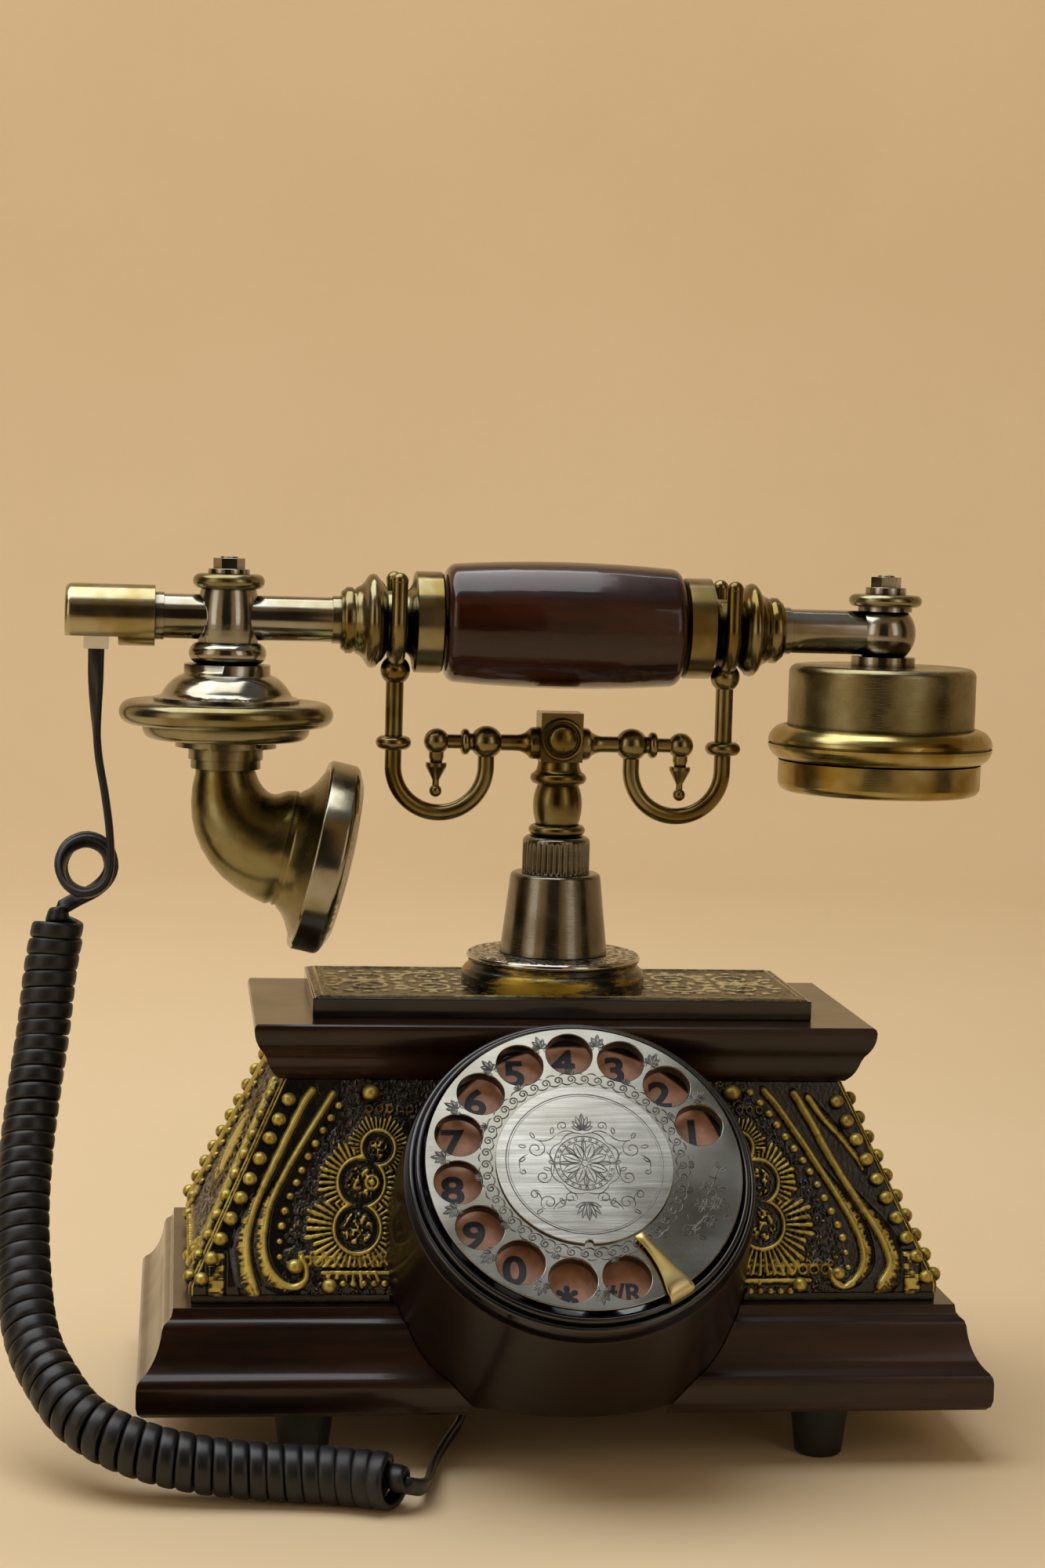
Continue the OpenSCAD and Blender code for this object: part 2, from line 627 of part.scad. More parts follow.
module dial_frame() color([0.6, 0.6, 0.58]) at_stem() on_dial() {
    difference() {
        translate([0, 0, -frame_depth - frame_t]) cylinder(h = frame_t, r = frame_r);
        bearing_holes(frame_depth + frame_t + 1, frame_t + 2);
    }
    rotate([0, 0, spring_angle]) translate([spring_outer_r + 1 + eps, 0, -frame_depth - frame_t - 3.4])
        cylinder(h = 3.4 + eps, r = 1);
}

module gear_bridge() color([0.62, 0.6, 0.5]) at_stem() on_dial() {
    difference() {
        translate([0, 0, -bridge_depth - frame_t]) cylinder(h = frame_t, r = bridge_r);
        bearing_holes(bridge_depth + frame_t + 1, frame_t + 2);
        for (a = [20, 115]) rotate([0, 0, a]) translate([22, 0, -bridge_depth - frame_t - 1])
            cylinder(h = frame_t + 2, r = 11);
    }
    for (a = pillar_angles) rotate([0, 0, a]) translate([bridge_r - 3, 0, -bridge_depth - eps])
        cylinder(h = bridge_depth - frame_depth - frame_t + eps, r = pillar_r);
}

module return_spring() color([0.35, 0.38, 0.45]) at_stem() on_dial() {
    turns = 4;
    strip = 0.6;
    hub = 6;
    pitch = (spring_outer_r - hub) / turns;
    inner = [for (a = [0 : 15 : 360 * turns]) hub - strip + pitch * a / 360];
    outer = [for (a = [0 : 15 : 360 * turns]) hub + pitch * a / 360];
    last = len(inner) - 1;
    translate([0, 0, -frame_depth - frame_t - 3.2]) linear_extrude(2.6) polygon(concat(
        [for (i = [0 : last]) inner[i] * [cos(15 * i + spring_angle), sin(15 * i + spring_angle)]],
        [for (i = [last : -1 : 0]) outer[i] * [cos(15 * i + spring_angle), sin(15 * i + spring_angle)]]));
}

module pulse_switch() color([0.75, 0.7, 0.55]) at_stem() on_dial()
translate([0, 0, -frame_depth - frame_t]) {
    translate([-7, 25, -8]) cube([14, 6, 8]);
    for (y = [26, 28, 30]) translate([-16, y - 0.2, -6]) cube([10, 0.4, 3]);
}

module finger_wheel() color([0.72, 0.7, 0.62]) at_stem() on_dial() difference() {
    translate([0, 0, -wheel_t]) cylinder(h = wheel_t, r = wheel_r);
    translate([0, 0, -wheel_t - 1]) cylinder(h = wheel_t + 2, r = shaft_r);
    for (i = [0 : hole_count - 1]) rotate([0, 0, first_hole + hole_step * i])
        translate([hole_ring_r, 0, -wheel_t - 1]) cylinder(h = wheel_t + 2, r = hole_r);
}

module centre_plate() color([0.74, 0.72, 0.65]) at_stem() on_dial() difference() {
    cylinder(h = 0.8, r = centre_r);
    rotate([0, 0, 269]) translate([centre_r, 0, -1]) cylinder(h = 3, r = 1.2);
}

module gear(teeth, turn, depth, h) {
    translate([0, 0, -depth - h]) rotate([0, 0, turn]) linear_extrude(h) polygon(gear_outline(teeth));
}

module arbor(near, far, r) translate([0, 0, -far]) cylinder(h = far - near, r = r);

module main_gear() color([0.75, 0.62, 0.3]) at_stem() on_dial() {
    gear(main_teeth, idler_turn, main_depth, gear_t);
    arbor(0, bridge_depth + frame_t + 1, shaft_r);
    arbor(wheel_t, wheel_t + 2, shaft_r + 3);
    arbor(frame_depth + frame_t + 0.4, main_depth, 5);
}

module idler_gear() color([0.72, 0.6, 0.3]) at_stem() on_dial()
translate([idler_at[0], idler_at[1], 0]) {
    gear(pinion_teeth, idler_turn + 180 + 180 / pinion_teeth, main_depth - 0.4, gear_t + 0.8);
    gear(idler_teeth, governor_turn, idler_depth, gear_t);
    arbor(frame_depth + 0.2, bridge_depth + frame_t, arbor_r);
}

module governor() color([0.7, 0.6, 0.35]) at_stem() on_dial()
translate([governor_at[0], governor_at[1], 0]) {
    gear(pinion_teeth, governor_turn + 180 + 180 / pinion_teeth, idler_depth - 0.4, gear_t + 0.8);
    arbor(frame_depth + frame_t + 1, idler_depth - 1.4, governor_r);
    arbor(frame_depth + 0.2, bridge_depth + frame_t, arbor_r);
}

module cradle_post() color([0.5, 0.42, 0.2]) at_stem() difference() {
    union() {
        translate([0, 0, post_z]) rotate_extrude() polygon(concat(
            [[0, face_gap]], half_round(8.35, face_gap, 3.3), curve([6.3, 3.3], [8.3, 10], [6.1, 14.9]),
            half_round(8.3, 15.4, 18.9), curve([7.05, 18.9], [6.1, 20], [6.1, 22.4]), [[0, 22.4]]));
        translate([-head_w / 2, -head_w / 2, head_z - 14.4]) cube([head_w, head_w, 14.4]);
        for (side = [0, 1]) mirror([0, side, 0]) translate([0, -head_w / 2, head_z - 7.7]) rotate([90, 0, 0])
            rotate_extrude() polygon([[0, -eps], [6.3, -eps], [6.3, 0.9], [5.9, 1.4], [5.3, 1.5], [5, 1],
                                      [4.6, 1], [4.4, 1.9], [3.6, 2.9], [2, 3.6], [0, 3.8]]);
    }
    translate([0, 0, post_z - 1]) cylinder(h = rod_top_z - post_z + 1, r = rod_r);
}

module plunger_rod() color("silver") at_stem() {
    translate([0, 0, rod_foot_z]) cylinder(h = rod_top_z - rod_foot_z, r = rod_r);
    translate([0, 0, rod_flange_z]) cylinder(h = rod_flange_h, r = rod_flange_r);
}

module plunger_spring() color([0.4, 0.42, 0.48]) at_stem() {
    low = bracket_z + bracket_t + spring_wire / 2 + 0.1;
    high = rod_flange_z - spring_wire / 2 - 0.1;
    steps = 14 * spring_turns;
    route = [for (i = [0 : steps]) let (a = 360 * spring_turns * i / steps)
             [4.4 * cos(a), 4.4 * sin(a), low + (high - low) * i / steps]];
    swept(route, [for (p = route) spring_wire / 2], 8);
}

module cradle_arms() color([0.5, 0.42, 0.2]) at_stem() both_ends() {
    end_ball_x = ball_x + 14.7;
    ring_x = ball_x + 5;
    half_head = head_w / 2;
    translate([0, 0, arm_z]) rotate([0, 90, 0]) rotate_extrude() polygon(concat(
        [[0, half_head], [4.75, half_head], [4.75, half_head + 1.6]],
        curve([4.5, half_head + 2.6], [2.4, half_head + 4], [2.4, half_head + 7]),
        [[2.4, ball_x], [2.1, ball_x]], half_round(3.9, ring_x, ring_x + 2.6), [[2.1, ring_x + 2.6],
        [2.1, end_ball_x], [0, end_ball_x]]));
    translate([ball_x, 0, arm_z]) sphere(ball_r);
    translate([end_ball_x, 0, arm_z]) sphere(3.8);
    translate([end_ball_x, 0, arm_z]) rotate_extrude() polygon([
        [0, 0], [2.2, 0], [2.2, -4.6], [1.7, -6.3], [3.1, -6.3], [3.1, -7.4], [1, -11.4], [1, -13],
        [0, -13]]);
    translate([end_ball_x, 0, arm_z - 14.6]) sphere(1.85);
}

// One hook: a bar that bends up from the arm's ball to the stem of its fork
module hook() difference() {
    union() {
        translate([hook_mid_x, 0, hook_z]) rotate([90, 0, 0]) rotate([0, 0, 180])
            rotate_extrude(angle = 180) translate([hook_bend_r, 0]) circle(hook_r, $fn = 32);
        translate([ball_x, 0, hook_z]) cylinder(h = arm_z - hook_z, r = hook_r);
        translate([fork_x, 0, hook_z]) cylinder(h = fork_ring_z - hook_z, r = hook_r);
        translate([fork_x, 0, fork_ring_z]) rotate_extrude()
            polygon(concat([[0, 0]], half_round(5.25, 0, 4), [[0, 4]]));
        translate([fork_x, 0, fork_ring_z]) cylinder(h = fork_foot_z - fork_ring_z, r = 2.6);
        translate([fork_x, 0, fork_foot_z]) sphere(4.35);
        translate([fork_x, 0, handset_z]) rotate([0, 90, 0]) rotate([0, 0, -90])
            rotate_extrude(angle = 180) translate([fork_bend_r, 0]) circle(prong_r, $fn = 32);
        for (y = [-fork_bend_r, fork_bend_r]) translate([fork_x, y, handset_z]) {
            cylinder(h = prong_h, r = prong_r);
            translate([0, 0, prong_h]) sphere(prong_r + 0.1);
        }
    }
    translate([ball_x, 0, arm_z]) sphere(ball_r);
    translate([fork_x - 10, 0, handset_z]) rotate([0, 90, 0]) cylinder(h = 20, r = neck_r + face_gap);
}

module right_hook() color([0.5, 0.42, 0.2]) at_stem() hook();

module left_hook() color([0.5, 0.42, 0.2]) at_stem() mirror([1, 0, 0]) hook();

module handset_grip() color([0.12, 0.03, 0.03]) at_stem() on_handset() difference() {
    fillet = 3.4;
    rotate_extrude() polygon(concat(
        [[0, -grip_half]], corner(grip_end_r, fillet - grip_half, fillet, -90, -15),
        curve([grip_end_r, fillet - grip_half], [2 * grip_r - grip_end_r, 0],
              [grip_end_r, grip_half - fillet]),
        corner(grip_end_r, grip_half - fillet, fillet, 15, 90), [[0, grip_half]]));
    translate([0, 0, -grip_half - 1]) cylinder(h = 2 * grip_half + 2, r = spine_r);
}

module spine_tube() color("silver") at_stem() on_handset() difference() {
    reach = collar_end_x + 6;
    translate([0, 0, -reach]) cylinder(h = 2 * reach, r = spine_r);
    translate([0, 0, -reach - 1]) cylinder(h = 2 * reach + 2, r = spine_r - 1);
}

module grip_collars() color([0.65, 0.6, 0.48]) at_stem() both_ends() on_handset() difference() {
    neck_x = fork_x - prong_r - 0.4;
    neck_end_x = fork_x + prong_r + 0.5;
    rotate_extrude() polygon(concat(
        [[0, ferrule_x], [ferrule_r - 0.6, ferrule_x], [ferrule_r, ferrule_x + 0.6],
         [ferrule_r, ferrule_x + ferrule_l]],
        curve([ferrule_r - 0.8, ferrule_x + ferrule_l + 0.4], [neck_r + 1, ferrule_x + ferrule_l + 0.8],
              [neck_r, neck_x]),
        curve([neck_r, neck_end_x], [bead_r - 2.6, neck_end_x + 0.8], [bead_r - 1.4, neck_end_x + 2.4]),
        [[bead_r - 0.4, neck_end_x + 3.1], [bead_r, neck_end_x + 4.2], [bead_r - 0.3, neck_end_x + 5.2]],
        curve([bead_r - 1.2, neck_end_x + 6], [10.3, neck_end_x + 7], [9.7, neck_end_x + 9]),
        [[9.2, neck_end_x + 9.3], [9.2, neck_end_x + 9.8], [9.7, neck_end_x + 10.3],
         [9.7, collar_end_x - 1.5], [9, collar_end_x - 0.9], [8.4, collar_end_x], [0, collar_end_x]]));
    translate([0, 0, ferrule_x - 1]) cylinder(h = collar_end_x - ferrule_x + 2, r = spine_r);
}

module tee_barrel() translate([-mouth_x, 0, tee_foot_z]) rotate_extrude() polygon(concat(
    [[0, 0]], curve([8.6, 0], [9.9, 7.2], [7.95, tee_top_z - tee_foot_z]), [[0, tee_top_z - tee_foot_z]]));

module side_tubes() color([0.65, 0.62, 0.5]) at_stem() difference() {
    both_ends() on_handset() {
        translate([0, 0, collar_end_x]) cylinder(h = flange_l, r = flange_r);
        translate([0, 0, collar_end_x]) cylinder(h = ear_x - collar_end_x - 4, r = tube_r);
    }
    both_ends() on_handset() translate([0, 0, collar_end_x - 1]) cylinder(h = ear_x, r = spine_r);
    tee_barrel();
    translate([ear_x, 0, handset_z]) sphere(9.35);
}

module mouth_tee() color([0.66, 0.62, 0.5]) at_stem() difference() {
    union() {
        tee_barrel();
        mirror([1, 0, 0]) on_handset() {
            translate([0, 0, mouth_x]) cylinder(h = end_cap_x - mouth_x, r = tube_r);
            translate([0, 0, end_cap_x - flange_l]) cylinder(h = flange_l, r = flange_r);
        }
    }
    mirror([1, 0, 0]) on_handset() translate([0, 0, mouth_x - 12]) cylinder(h = end_x, r = spine_r);
    translate([-mouth_x, 0, tee_foot_z - 1]) cylinder(h = 40, r = bolt_r);
}

module mouth_bell() color([0.66, 0.62, 0.5]) at_stem() translate([-mouth_x, 0, bell_z]) difference() {
    top = tee_foot_z - bell_z;
    rotate_extrude() polygon(concat(
        [[0, 0], [21.1, 0], [21.1, 1]], curve([19, 1.7], [16.5, 6.6], [12.5, 7.8]),
        [[12.5, top - 6.4]], half_round(11.25, top - 6.4, top), [[0, top]]));
    translate([0, 0, -1]) cylinder(h = top + 2, r = bolt_r);
}

module mouth_saucer() color([0.62, 0.58, 0.45]) at_stem() translate([-mouth_x, 0, saucer_z]) difference() {
    low = horn_z - saucer_z;
    rotate_extrude() polygon(concat(
        [[0, low], [10.15, low], [10.15, low + 2.7], [10.8, low + 2.7], [10.8, low + 6.2],
         [14.65, low + 6.2], [14.65, low + 8.5]],
        curve([22, low + 8.5], [24.3, low + 9.2], [24.3, 0]),
        half_round(saucer_r, 0, bell_z - saucer_z), [[0, bell_z - saucer_z]]));
    translate([0, 0, low + 6]) cylinder(h = 20, r = bolt_r);
}

// The horn's middle line, which bends from straight down to the mouthpiece's axis, and its radii
function horn_point(p) = [p[0], 0, p[1]];
function horn_route(inset) =
    let (top = [-mouth_x, horn_z - inset], start = top - [0, 1], middle = [-mouth_x, horn_z - 19.2])
    concat([horn_point(top)], [for (t = [0 : 0.1 : 1]) horn_point(quad(start, middle, horn_rear, t))],
           [for (ring = horn_flare) horn_point(horn_rear + ring[0] * [cos(mouth_tilt), -sin(mouth_tilt)])]);
function horn_radii(inset) =
    concat([horn_start_r - inset],
           [for (t = [0 : 0.1 : 1]) quad(horn_start_r, horn_middle_r, horn_neck_r, t) - inset],
           [for (ring = horn_flare) ring[1] - inset]);

// The horn's outside, then its inside back up to the closed top
module mouth_horn() color([0.66, 0.62, 0.5]) at_stem() {
    outside = rings_along(horn_route(0), horn_radii(0), 36);
    inside = rings_along(horn_route(2), horn_radii(horn_wall), 36);
    skin(concat(outside, [for (i = [len(inside) - 1 : -1 : 0]) inside[i]]), 36);
}

module at_mouthpiece() translate(horn_point(horn_end)) rotate([0, 90 + mouth_tilt, 0]) children();

module mouthpiece_cap() color([0.6, 0.56, 0.42]) at_stem() at_mouthpiece() difference() {
    wall = 1.8;
    rim = 8.8;
    face = rim + 1.9;
    crown = rim + 3.8;
    rotate_extrude() polygon(concat(
        [[0, 0], [mouth_cap_r - 0.8, 0], [mouth_cap_r, 0.8]], corner(mouth_cap_r, rim - 1.6, 2, 0, 60),
        [[23.6, face]], curve([23.2, face], [12, crown - 0.2], [0, crown])));
    translate([0, 0, -1]) rotate_extrude() polygon([[0, 0], [mouth_cap_r - 3, 0], [mouth_cap_r - 3, rim],
        [21, face + 1 - wall], [0, crown + 1 - wall]]);
    translate([0, 0, 2]) sound_holes(3, 4.6, 1.1, 12);
}

module microphone() color([0.25, 0.25, 0.27]) at_stem() at_mouthpiece() {
    translate([0, 0, 0.2]) cylinder(h = 5, r = mouth_cap_r - 3.4);
    translate([0, 0, -3]) cylinder(h = 3.2 + eps, r = 12);
}

module ear_ball() color([0.66, 0.62, 0.5]) at_stem() translate([ear_x, 0, 0]) difference() {
    neck_z = ear_cup_z + ear_cup_h;
    intersection() {
        union() {
            translate([0, 0, handset_z]) sphere(9.35);
            translate([0, 0, tee_top_z - 1.8]) cylinder(h = 1.4, r = 8);
            translate([0, 0, neck_z]) cylinder(h = 2.8, r = 9.5);
        }
        translate([-15, -15, neck_z]) cube([30, 30, tee_top_z - 0.4 - neck_z]);
    }
    translate([0, 0, neck_z - 1]) cylinder(h = 30, r = bolt_r);
    translate([-15, 0, handset_z]) rotate([0, 90, 0]) cylinder(h = 15, r = spine_r);
}

module ear_cup() color([0.68, 0.66, 0.55]) at_stem() translate([ear_x, 0, ear_cup_z]) difference() {
    rotate_extrude() polygon(concat(
        [[0, 0], [ear_cup_r, 0]], corner(ear_cup_r, ear_cup_h - 2.5, 2.5, 0, 90), [[0, ear_cup_h]]));
    translate([0, 0, -1]) cylinder(h = ear_cup_h - 1.5, r = ear_cup_r - 2);
    cylinder(h = 30, r = bolt_r);
}

module ear_ring() color([0.6, 0.56, 0.44]) at_stem() translate([ear_x, 0, ear_ring_z]) difference() {
    h = ear_cup_z - ear_ring_z;
    rotate_extrude() polygon(concat([[0, 0]], half_round(ear_ring_r, 0, h), [[0, h]]));
    translate([0, 0, -1]) cylinder(h = h + 2, r = ear_cup_r - 5);
    translate([0, 0, h / 2 - 0.4]) difference() {
        cylinder(h = 0.8, r = ear_ring_r + 1);
        translate([0, 0, -1]) cylinder(h = 3, r = ear_ring_r - 0.8);
    }
}

module ear_cap() color([0.62, 0.58, 0.46]) at_stem() translate([ear_x, 0, ear_cap_z]) difference() {
    h = ear_ring_z - ear_cap_z;
    rotate_extrude() polygon(concat([[0, 0]], corner(ear_cap_r, 2.7, 2.7, -90, 0), [[ear_cap_r, h], [0, h]]));
    translate([0, 0, 2.5]) cylinder(h = h, r = ear_cap_r - 2.5);
    translate([0, 0, -1]) sound_holes(3, 5, 1.2, 5);
}

module receiver() color([0.25, 0.25, 0.27]) at_stem() translate([ear_x, 0, ear_cap_z + 2.5]) {
    cylinder(h = 10, r = ear_cup_r - 6);
    cylinder(h = 14, r = 10);
}

module cap_rings() color([0.66, 0.62, 0.5]) at_stem() {
    translate([-mouth_x, 0, tee_top_z]) cap_ring(10.35, mouth_ring_h);
    translate([ear_x, 0, tee_top_z - 0.4]) cap_ring(10.8, ear_ring_cap_h);
}

module cap_ring(r, h) difference() {
    rotate_extrude() polygon(concat([[0, 0]], half_round(r, 0, h), [[0, h]]));
    translate([0, 0, -1]) cylinder(h = h + 2, r = bolt_r);
}

// A bolt from foot_z up through the stack whose top is at top_z, with its washer and nut
module clamp_bolt(foot_z, top_z, washer_h) {
    translate([0, 0, foot_z]) cylinder(h = top_z + washer_h + nut_h + 0.5 - foot_z, r = bolt_r);
    translate([0, 0, top_z]) cylinder(h = washer_h, r = 6);
    translate([0, 0, top_z + washer_h]) hex_nut(nut_r, nut_h);
}

module clamp_bolts() color([0.6, 0.58, 0.5]) at_stem() {
    cup_floor_z = ear_cup_z + ear_cup_h - 2.5;
    translate([-mouth_x, 0, 0]) clamp_bolt(horn_z + 6, tee_top_z + mouth_ring_h, mouth_washer_h);
    translate([ear_x, 0, 0]) {
        clamp_bolt(cup_floor_z - 2, tee_top_z - 0.4 + ear_ring_cap_h, ear_washer_h);
        translate([0, 0, cup_floor_z - 2]) cylinder(h = 2, r = 4.5);
    }
}

module end_cap() color([0.66, 0.62, 0.5]) at_stem() difference() {
    mirror([1, 0, 0]) on_handset() rotate_extrude() polygon(concat(
        [[0, end_cap_x], [end_cap_r, end_cap_x]], corner(end_cap_r, end_x - 1.8, 1.8, 0, 90), [[0, end_x]]));
    translate([-end_x - 1, -10, handset_z - 16.1]) cube([end_flat_l + 1, 20, 10]);
    mirror([1, 0, 0]) on_handset() translate([0, 0, end_cap_x - 1]) cylinder(h = 8, r = spine_r);
    translate(plug_at) plug_space();
}

module handset_plug() color([0.85, 0.87, 0.88]) at_stem() translate(plug_at) cord_plug();

module cord_tail() color([0.05, 0.05, 0.05]) at_stem()
swept(tail_route, [for (p = tail_route) lead_r], 8);

module curly_cord() color([0.05, 0.05, 0.05]) at_stem()
swept(coil_route, [for (p = coil_route) coil_r], 12);

module cord_lead() color([0.05, 0.05, 0.05]) at_stem()
swept(lead_route, [for (p = lead_route) lead_r], 8);

module base_plug() color([0.85, 0.87, 0.88]) at_stem()
translate([jack_at[0], jack_at[1], plinth_z + 3]) cord_plug();

plinth();
body_shell();
cornice();
deck_plate();
boss_ring();
stem_disc();
stem_cone();
knurled_collar();
guide_tube();
bottom_cover();
base_screws();
rubber_feet();
hook_bracket();
hook_switch();
circuit_board();
ringer_speaker();
line_jack();
cord_jack();
dial_drum();
dial_bezel();
number_plate();
finger_stop();
dial_frame();
gear_bridge();
return_spring();
pulse_switch();
finger_wheel();
centre_plate();
main_gear();
idler_gear();
governor();
cradle_post();
plunger_rod();
plunger_spring();
cradle_arms();
left_hook();
right_hook();
handset_grip();
spine_tube();
grip_collars();
side_tubes();
mouth_tee();
mouth_bell();
mouth_saucer();
mouth_horn();
mouthpiece_cap();
microphone();
ear_ball();
ear_cup();
ear_ring();
ear_cap();
receiver();
cap_rings();
clamp_bolts();
end_cap();
handset_plug();
cord_tail();
curly_cord();
cord_lead();
base_plug();
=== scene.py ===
import json
import math
import bpy
import bmesh
import numpy as np
from mathutils import Matrix, Vector


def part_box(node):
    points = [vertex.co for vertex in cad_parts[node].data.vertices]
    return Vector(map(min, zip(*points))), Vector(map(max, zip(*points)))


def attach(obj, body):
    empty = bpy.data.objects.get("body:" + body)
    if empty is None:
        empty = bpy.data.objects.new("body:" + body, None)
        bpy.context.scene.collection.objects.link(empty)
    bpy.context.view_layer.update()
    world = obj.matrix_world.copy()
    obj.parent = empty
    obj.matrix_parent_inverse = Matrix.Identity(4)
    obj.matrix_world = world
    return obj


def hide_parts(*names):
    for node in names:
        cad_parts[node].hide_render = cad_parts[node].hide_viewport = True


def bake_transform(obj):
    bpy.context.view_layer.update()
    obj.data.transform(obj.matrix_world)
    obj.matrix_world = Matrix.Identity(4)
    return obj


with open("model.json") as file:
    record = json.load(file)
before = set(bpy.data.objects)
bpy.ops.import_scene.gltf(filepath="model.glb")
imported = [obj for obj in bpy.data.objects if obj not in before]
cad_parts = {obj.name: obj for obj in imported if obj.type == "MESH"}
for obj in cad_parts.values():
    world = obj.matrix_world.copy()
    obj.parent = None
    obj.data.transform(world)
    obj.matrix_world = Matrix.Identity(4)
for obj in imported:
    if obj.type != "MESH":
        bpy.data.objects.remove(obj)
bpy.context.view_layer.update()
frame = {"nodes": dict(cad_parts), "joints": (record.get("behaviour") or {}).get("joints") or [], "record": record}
mm = 0.001
scene = bpy.context.scene
record = frame["record"]
bodyOf = {node: body for body, nodes in record["behaviour"]["bodies"].items() for node in nodes}
slotOf = {part["node"]: part["material_slot"] for part in record["subparts"]}
print("frame loaded")


def middle(node):
    low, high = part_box(node)
    return (low + high) / 2


stem = middle("stem_disc")  # the stem's axis stands at its x and y


def atStem(point):
    return Vector((stem.x + point[0] * mm, stem.y + point[1] * mm, point[2] * mm))


# camera
view = {"place": (-0.10453, -0.80444, 0.25946), "lens": 64.85, "sensor": 36, "far": 20,
        "yaw": 0.12216, "pitch": 0.089, "roll": 0.02842}


def aimCamera():
    yaw, pitch, roll = view["yaw"], view["pitch"], view["roll"]
    ahead = Vector((math.sin(yaw) * math.cos(pitch), math.cos(yaw) * math.cos(pitch), -math.sin(pitch)))
    across = Vector((math.cos(yaw), -math.sin(yaw), 0))
    up = across.cross(ahead)
    right = across * math.cos(roll) + up * math.sin(roll)
    top = up * math.cos(roll) - across * math.sin(roll)
    data = bpy.data.cameras.new("camera")
    data.lens = view["lens"]
    data.sensor_width = view["sensor"]
    data.clip_end = view["far"]
    camera = bpy.data.objects.new("camera", data)
    scene.collection.objects.link(camera)
    turn = Matrix((right, top, -ahead)).transposed().to_4x4()
    camera.matrix_world = Matrix.Translation(view["place"]) @ turn
    scene.camera = camera


aimCamera()


def feed(socket, value):
    # a socket takes a wire or a plain value
    if isinstance(value, Wire):
        value.tree.links.new(value.socket, socket)
    else:
        socket.default_value = value


# shader maths: a wire is one socket, and sums on wires make Math nodes
class Wire:
    def __init__(self, tree, socket=None):
        self.tree, self.socket = tree, socket

    def make(self, kind, settings=None, sockets=None, out=0):
        node = self.tree.nodes.new("ShaderNode" + kind)
        for name, value in (settings or {}).items():
            setattr(node, name, value)
        for name, value in (sockets or {}).items():
            feed(node.inputs[name], value)
        return Wire(self.tree, node.outputs[out])

    def sum(self, kind, first, second):
        return self.make("Math", {"operation": kind}, {0: first, 1: second})

    def __add__(self, other):
        return self.sum("ADD", self, other)

    def __radd__(self, other):
        return self.sum("ADD", other, self)

    def __sub__(self, other):
        return self.sum("SUBTRACT", self, other)

    def __rsub__(self, other):
        return self.sum("SUBTRACT", other, self)

    def __mul__(self, other):
        return self.sum("MULTIPLY", self, other)

    def __rmul__(self, other):
        return self.sum("MULTIPLY", other, self)

    def rise(self, low, high, start=0.0, end=1.0):
        ends = {"Value": self, "From Min": low, "From Max": high, "To Min": start, "To Max": end}
        return self.make("MapRange", {"interpolation_type": "SMOOTHSTEP"}, ends)

    def blend(self, first, second):
        # each end is a wire, or a colour as 0 to 255
        ends = [end if isinstance(end, Wire) else colour(*end) for end in (first, second)]
        return self.make("Mix", {"data_type": "RGBA"}, {0: self, 6: ends[0], 7: ends[1]}, 2)


def colour(*levels):
    # a colour as 0 to 255 in linear light
    shares = [level / 255 for level in levels]
    return (*(c / 12.92 if c <= 0.04045 else ((c + 0.055) / 1.055) ** 2.4 for c in shares), 1)


finishes = {}


def newFinish(name):
    finish = finishes[name] = bpy.data.materials.new(name)
    finish.use_nodes = True
    tree = finish.node_tree
    shader = next(node for node in tree.nodes if node.type == "BSDF_PRINCIPLED")
    coords = tree.nodes.new("ShaderNodeTexCoord")
    return shader, Wire(tree, coords.outputs["Object"])


def dress(shader, grit=None, strength=0, depth=0, **inputs):
    # grit is the height that the bump follows, and every other input takes a wire or a value
    if grit:
        inputs["Normal"] = grit.make("Bump", {}, {"Strength": strength, "Distance": depth, "Height": grit})
    for name, value in inputs.items():
        feed(shader.inputs[name.replace("_", " ")], value)


def noise(where, scale, detail=3, rough=0.55, stretch=None):
    if stretch:
        where = where.make("Mapping", {}, {"Vector": where, "Scale": stretch})
    return where.make("TexNoise", {}, {"Vector": where, "Scale": scale, "Detail": detail, "Roughness": rough})


# finishes
def lacqueredWood(name, dark, light, grain, gloss, coat=0.6, coatGloss=0.14, depth=0.1):
    shader, where = newFinish(name)
    figure = noise(where, 60, 5, 0.62, grain)
    pores = noise(where, 420, 3, 0.6, grain)
    cloud = noise(where, 14, 2)
    shade = (figure * 0.62 + pores * 0.18 + cloud * 0.3).rise(0.38, 0.76)
    rough = noise(where, 35, 3).rise(0.3, 0.7, gloss, gloss + 0.1)
    dress(shader, figure * 0.6 + pores * 0.4, depth, 0.0002, Base_Color=shade.blend(dark, light),
          Roughness=rough, Coat_Weight=coat, Coat_Roughness=coatGloss, Coat_IOR=1.45, Specular_IOR_Level=0.2)


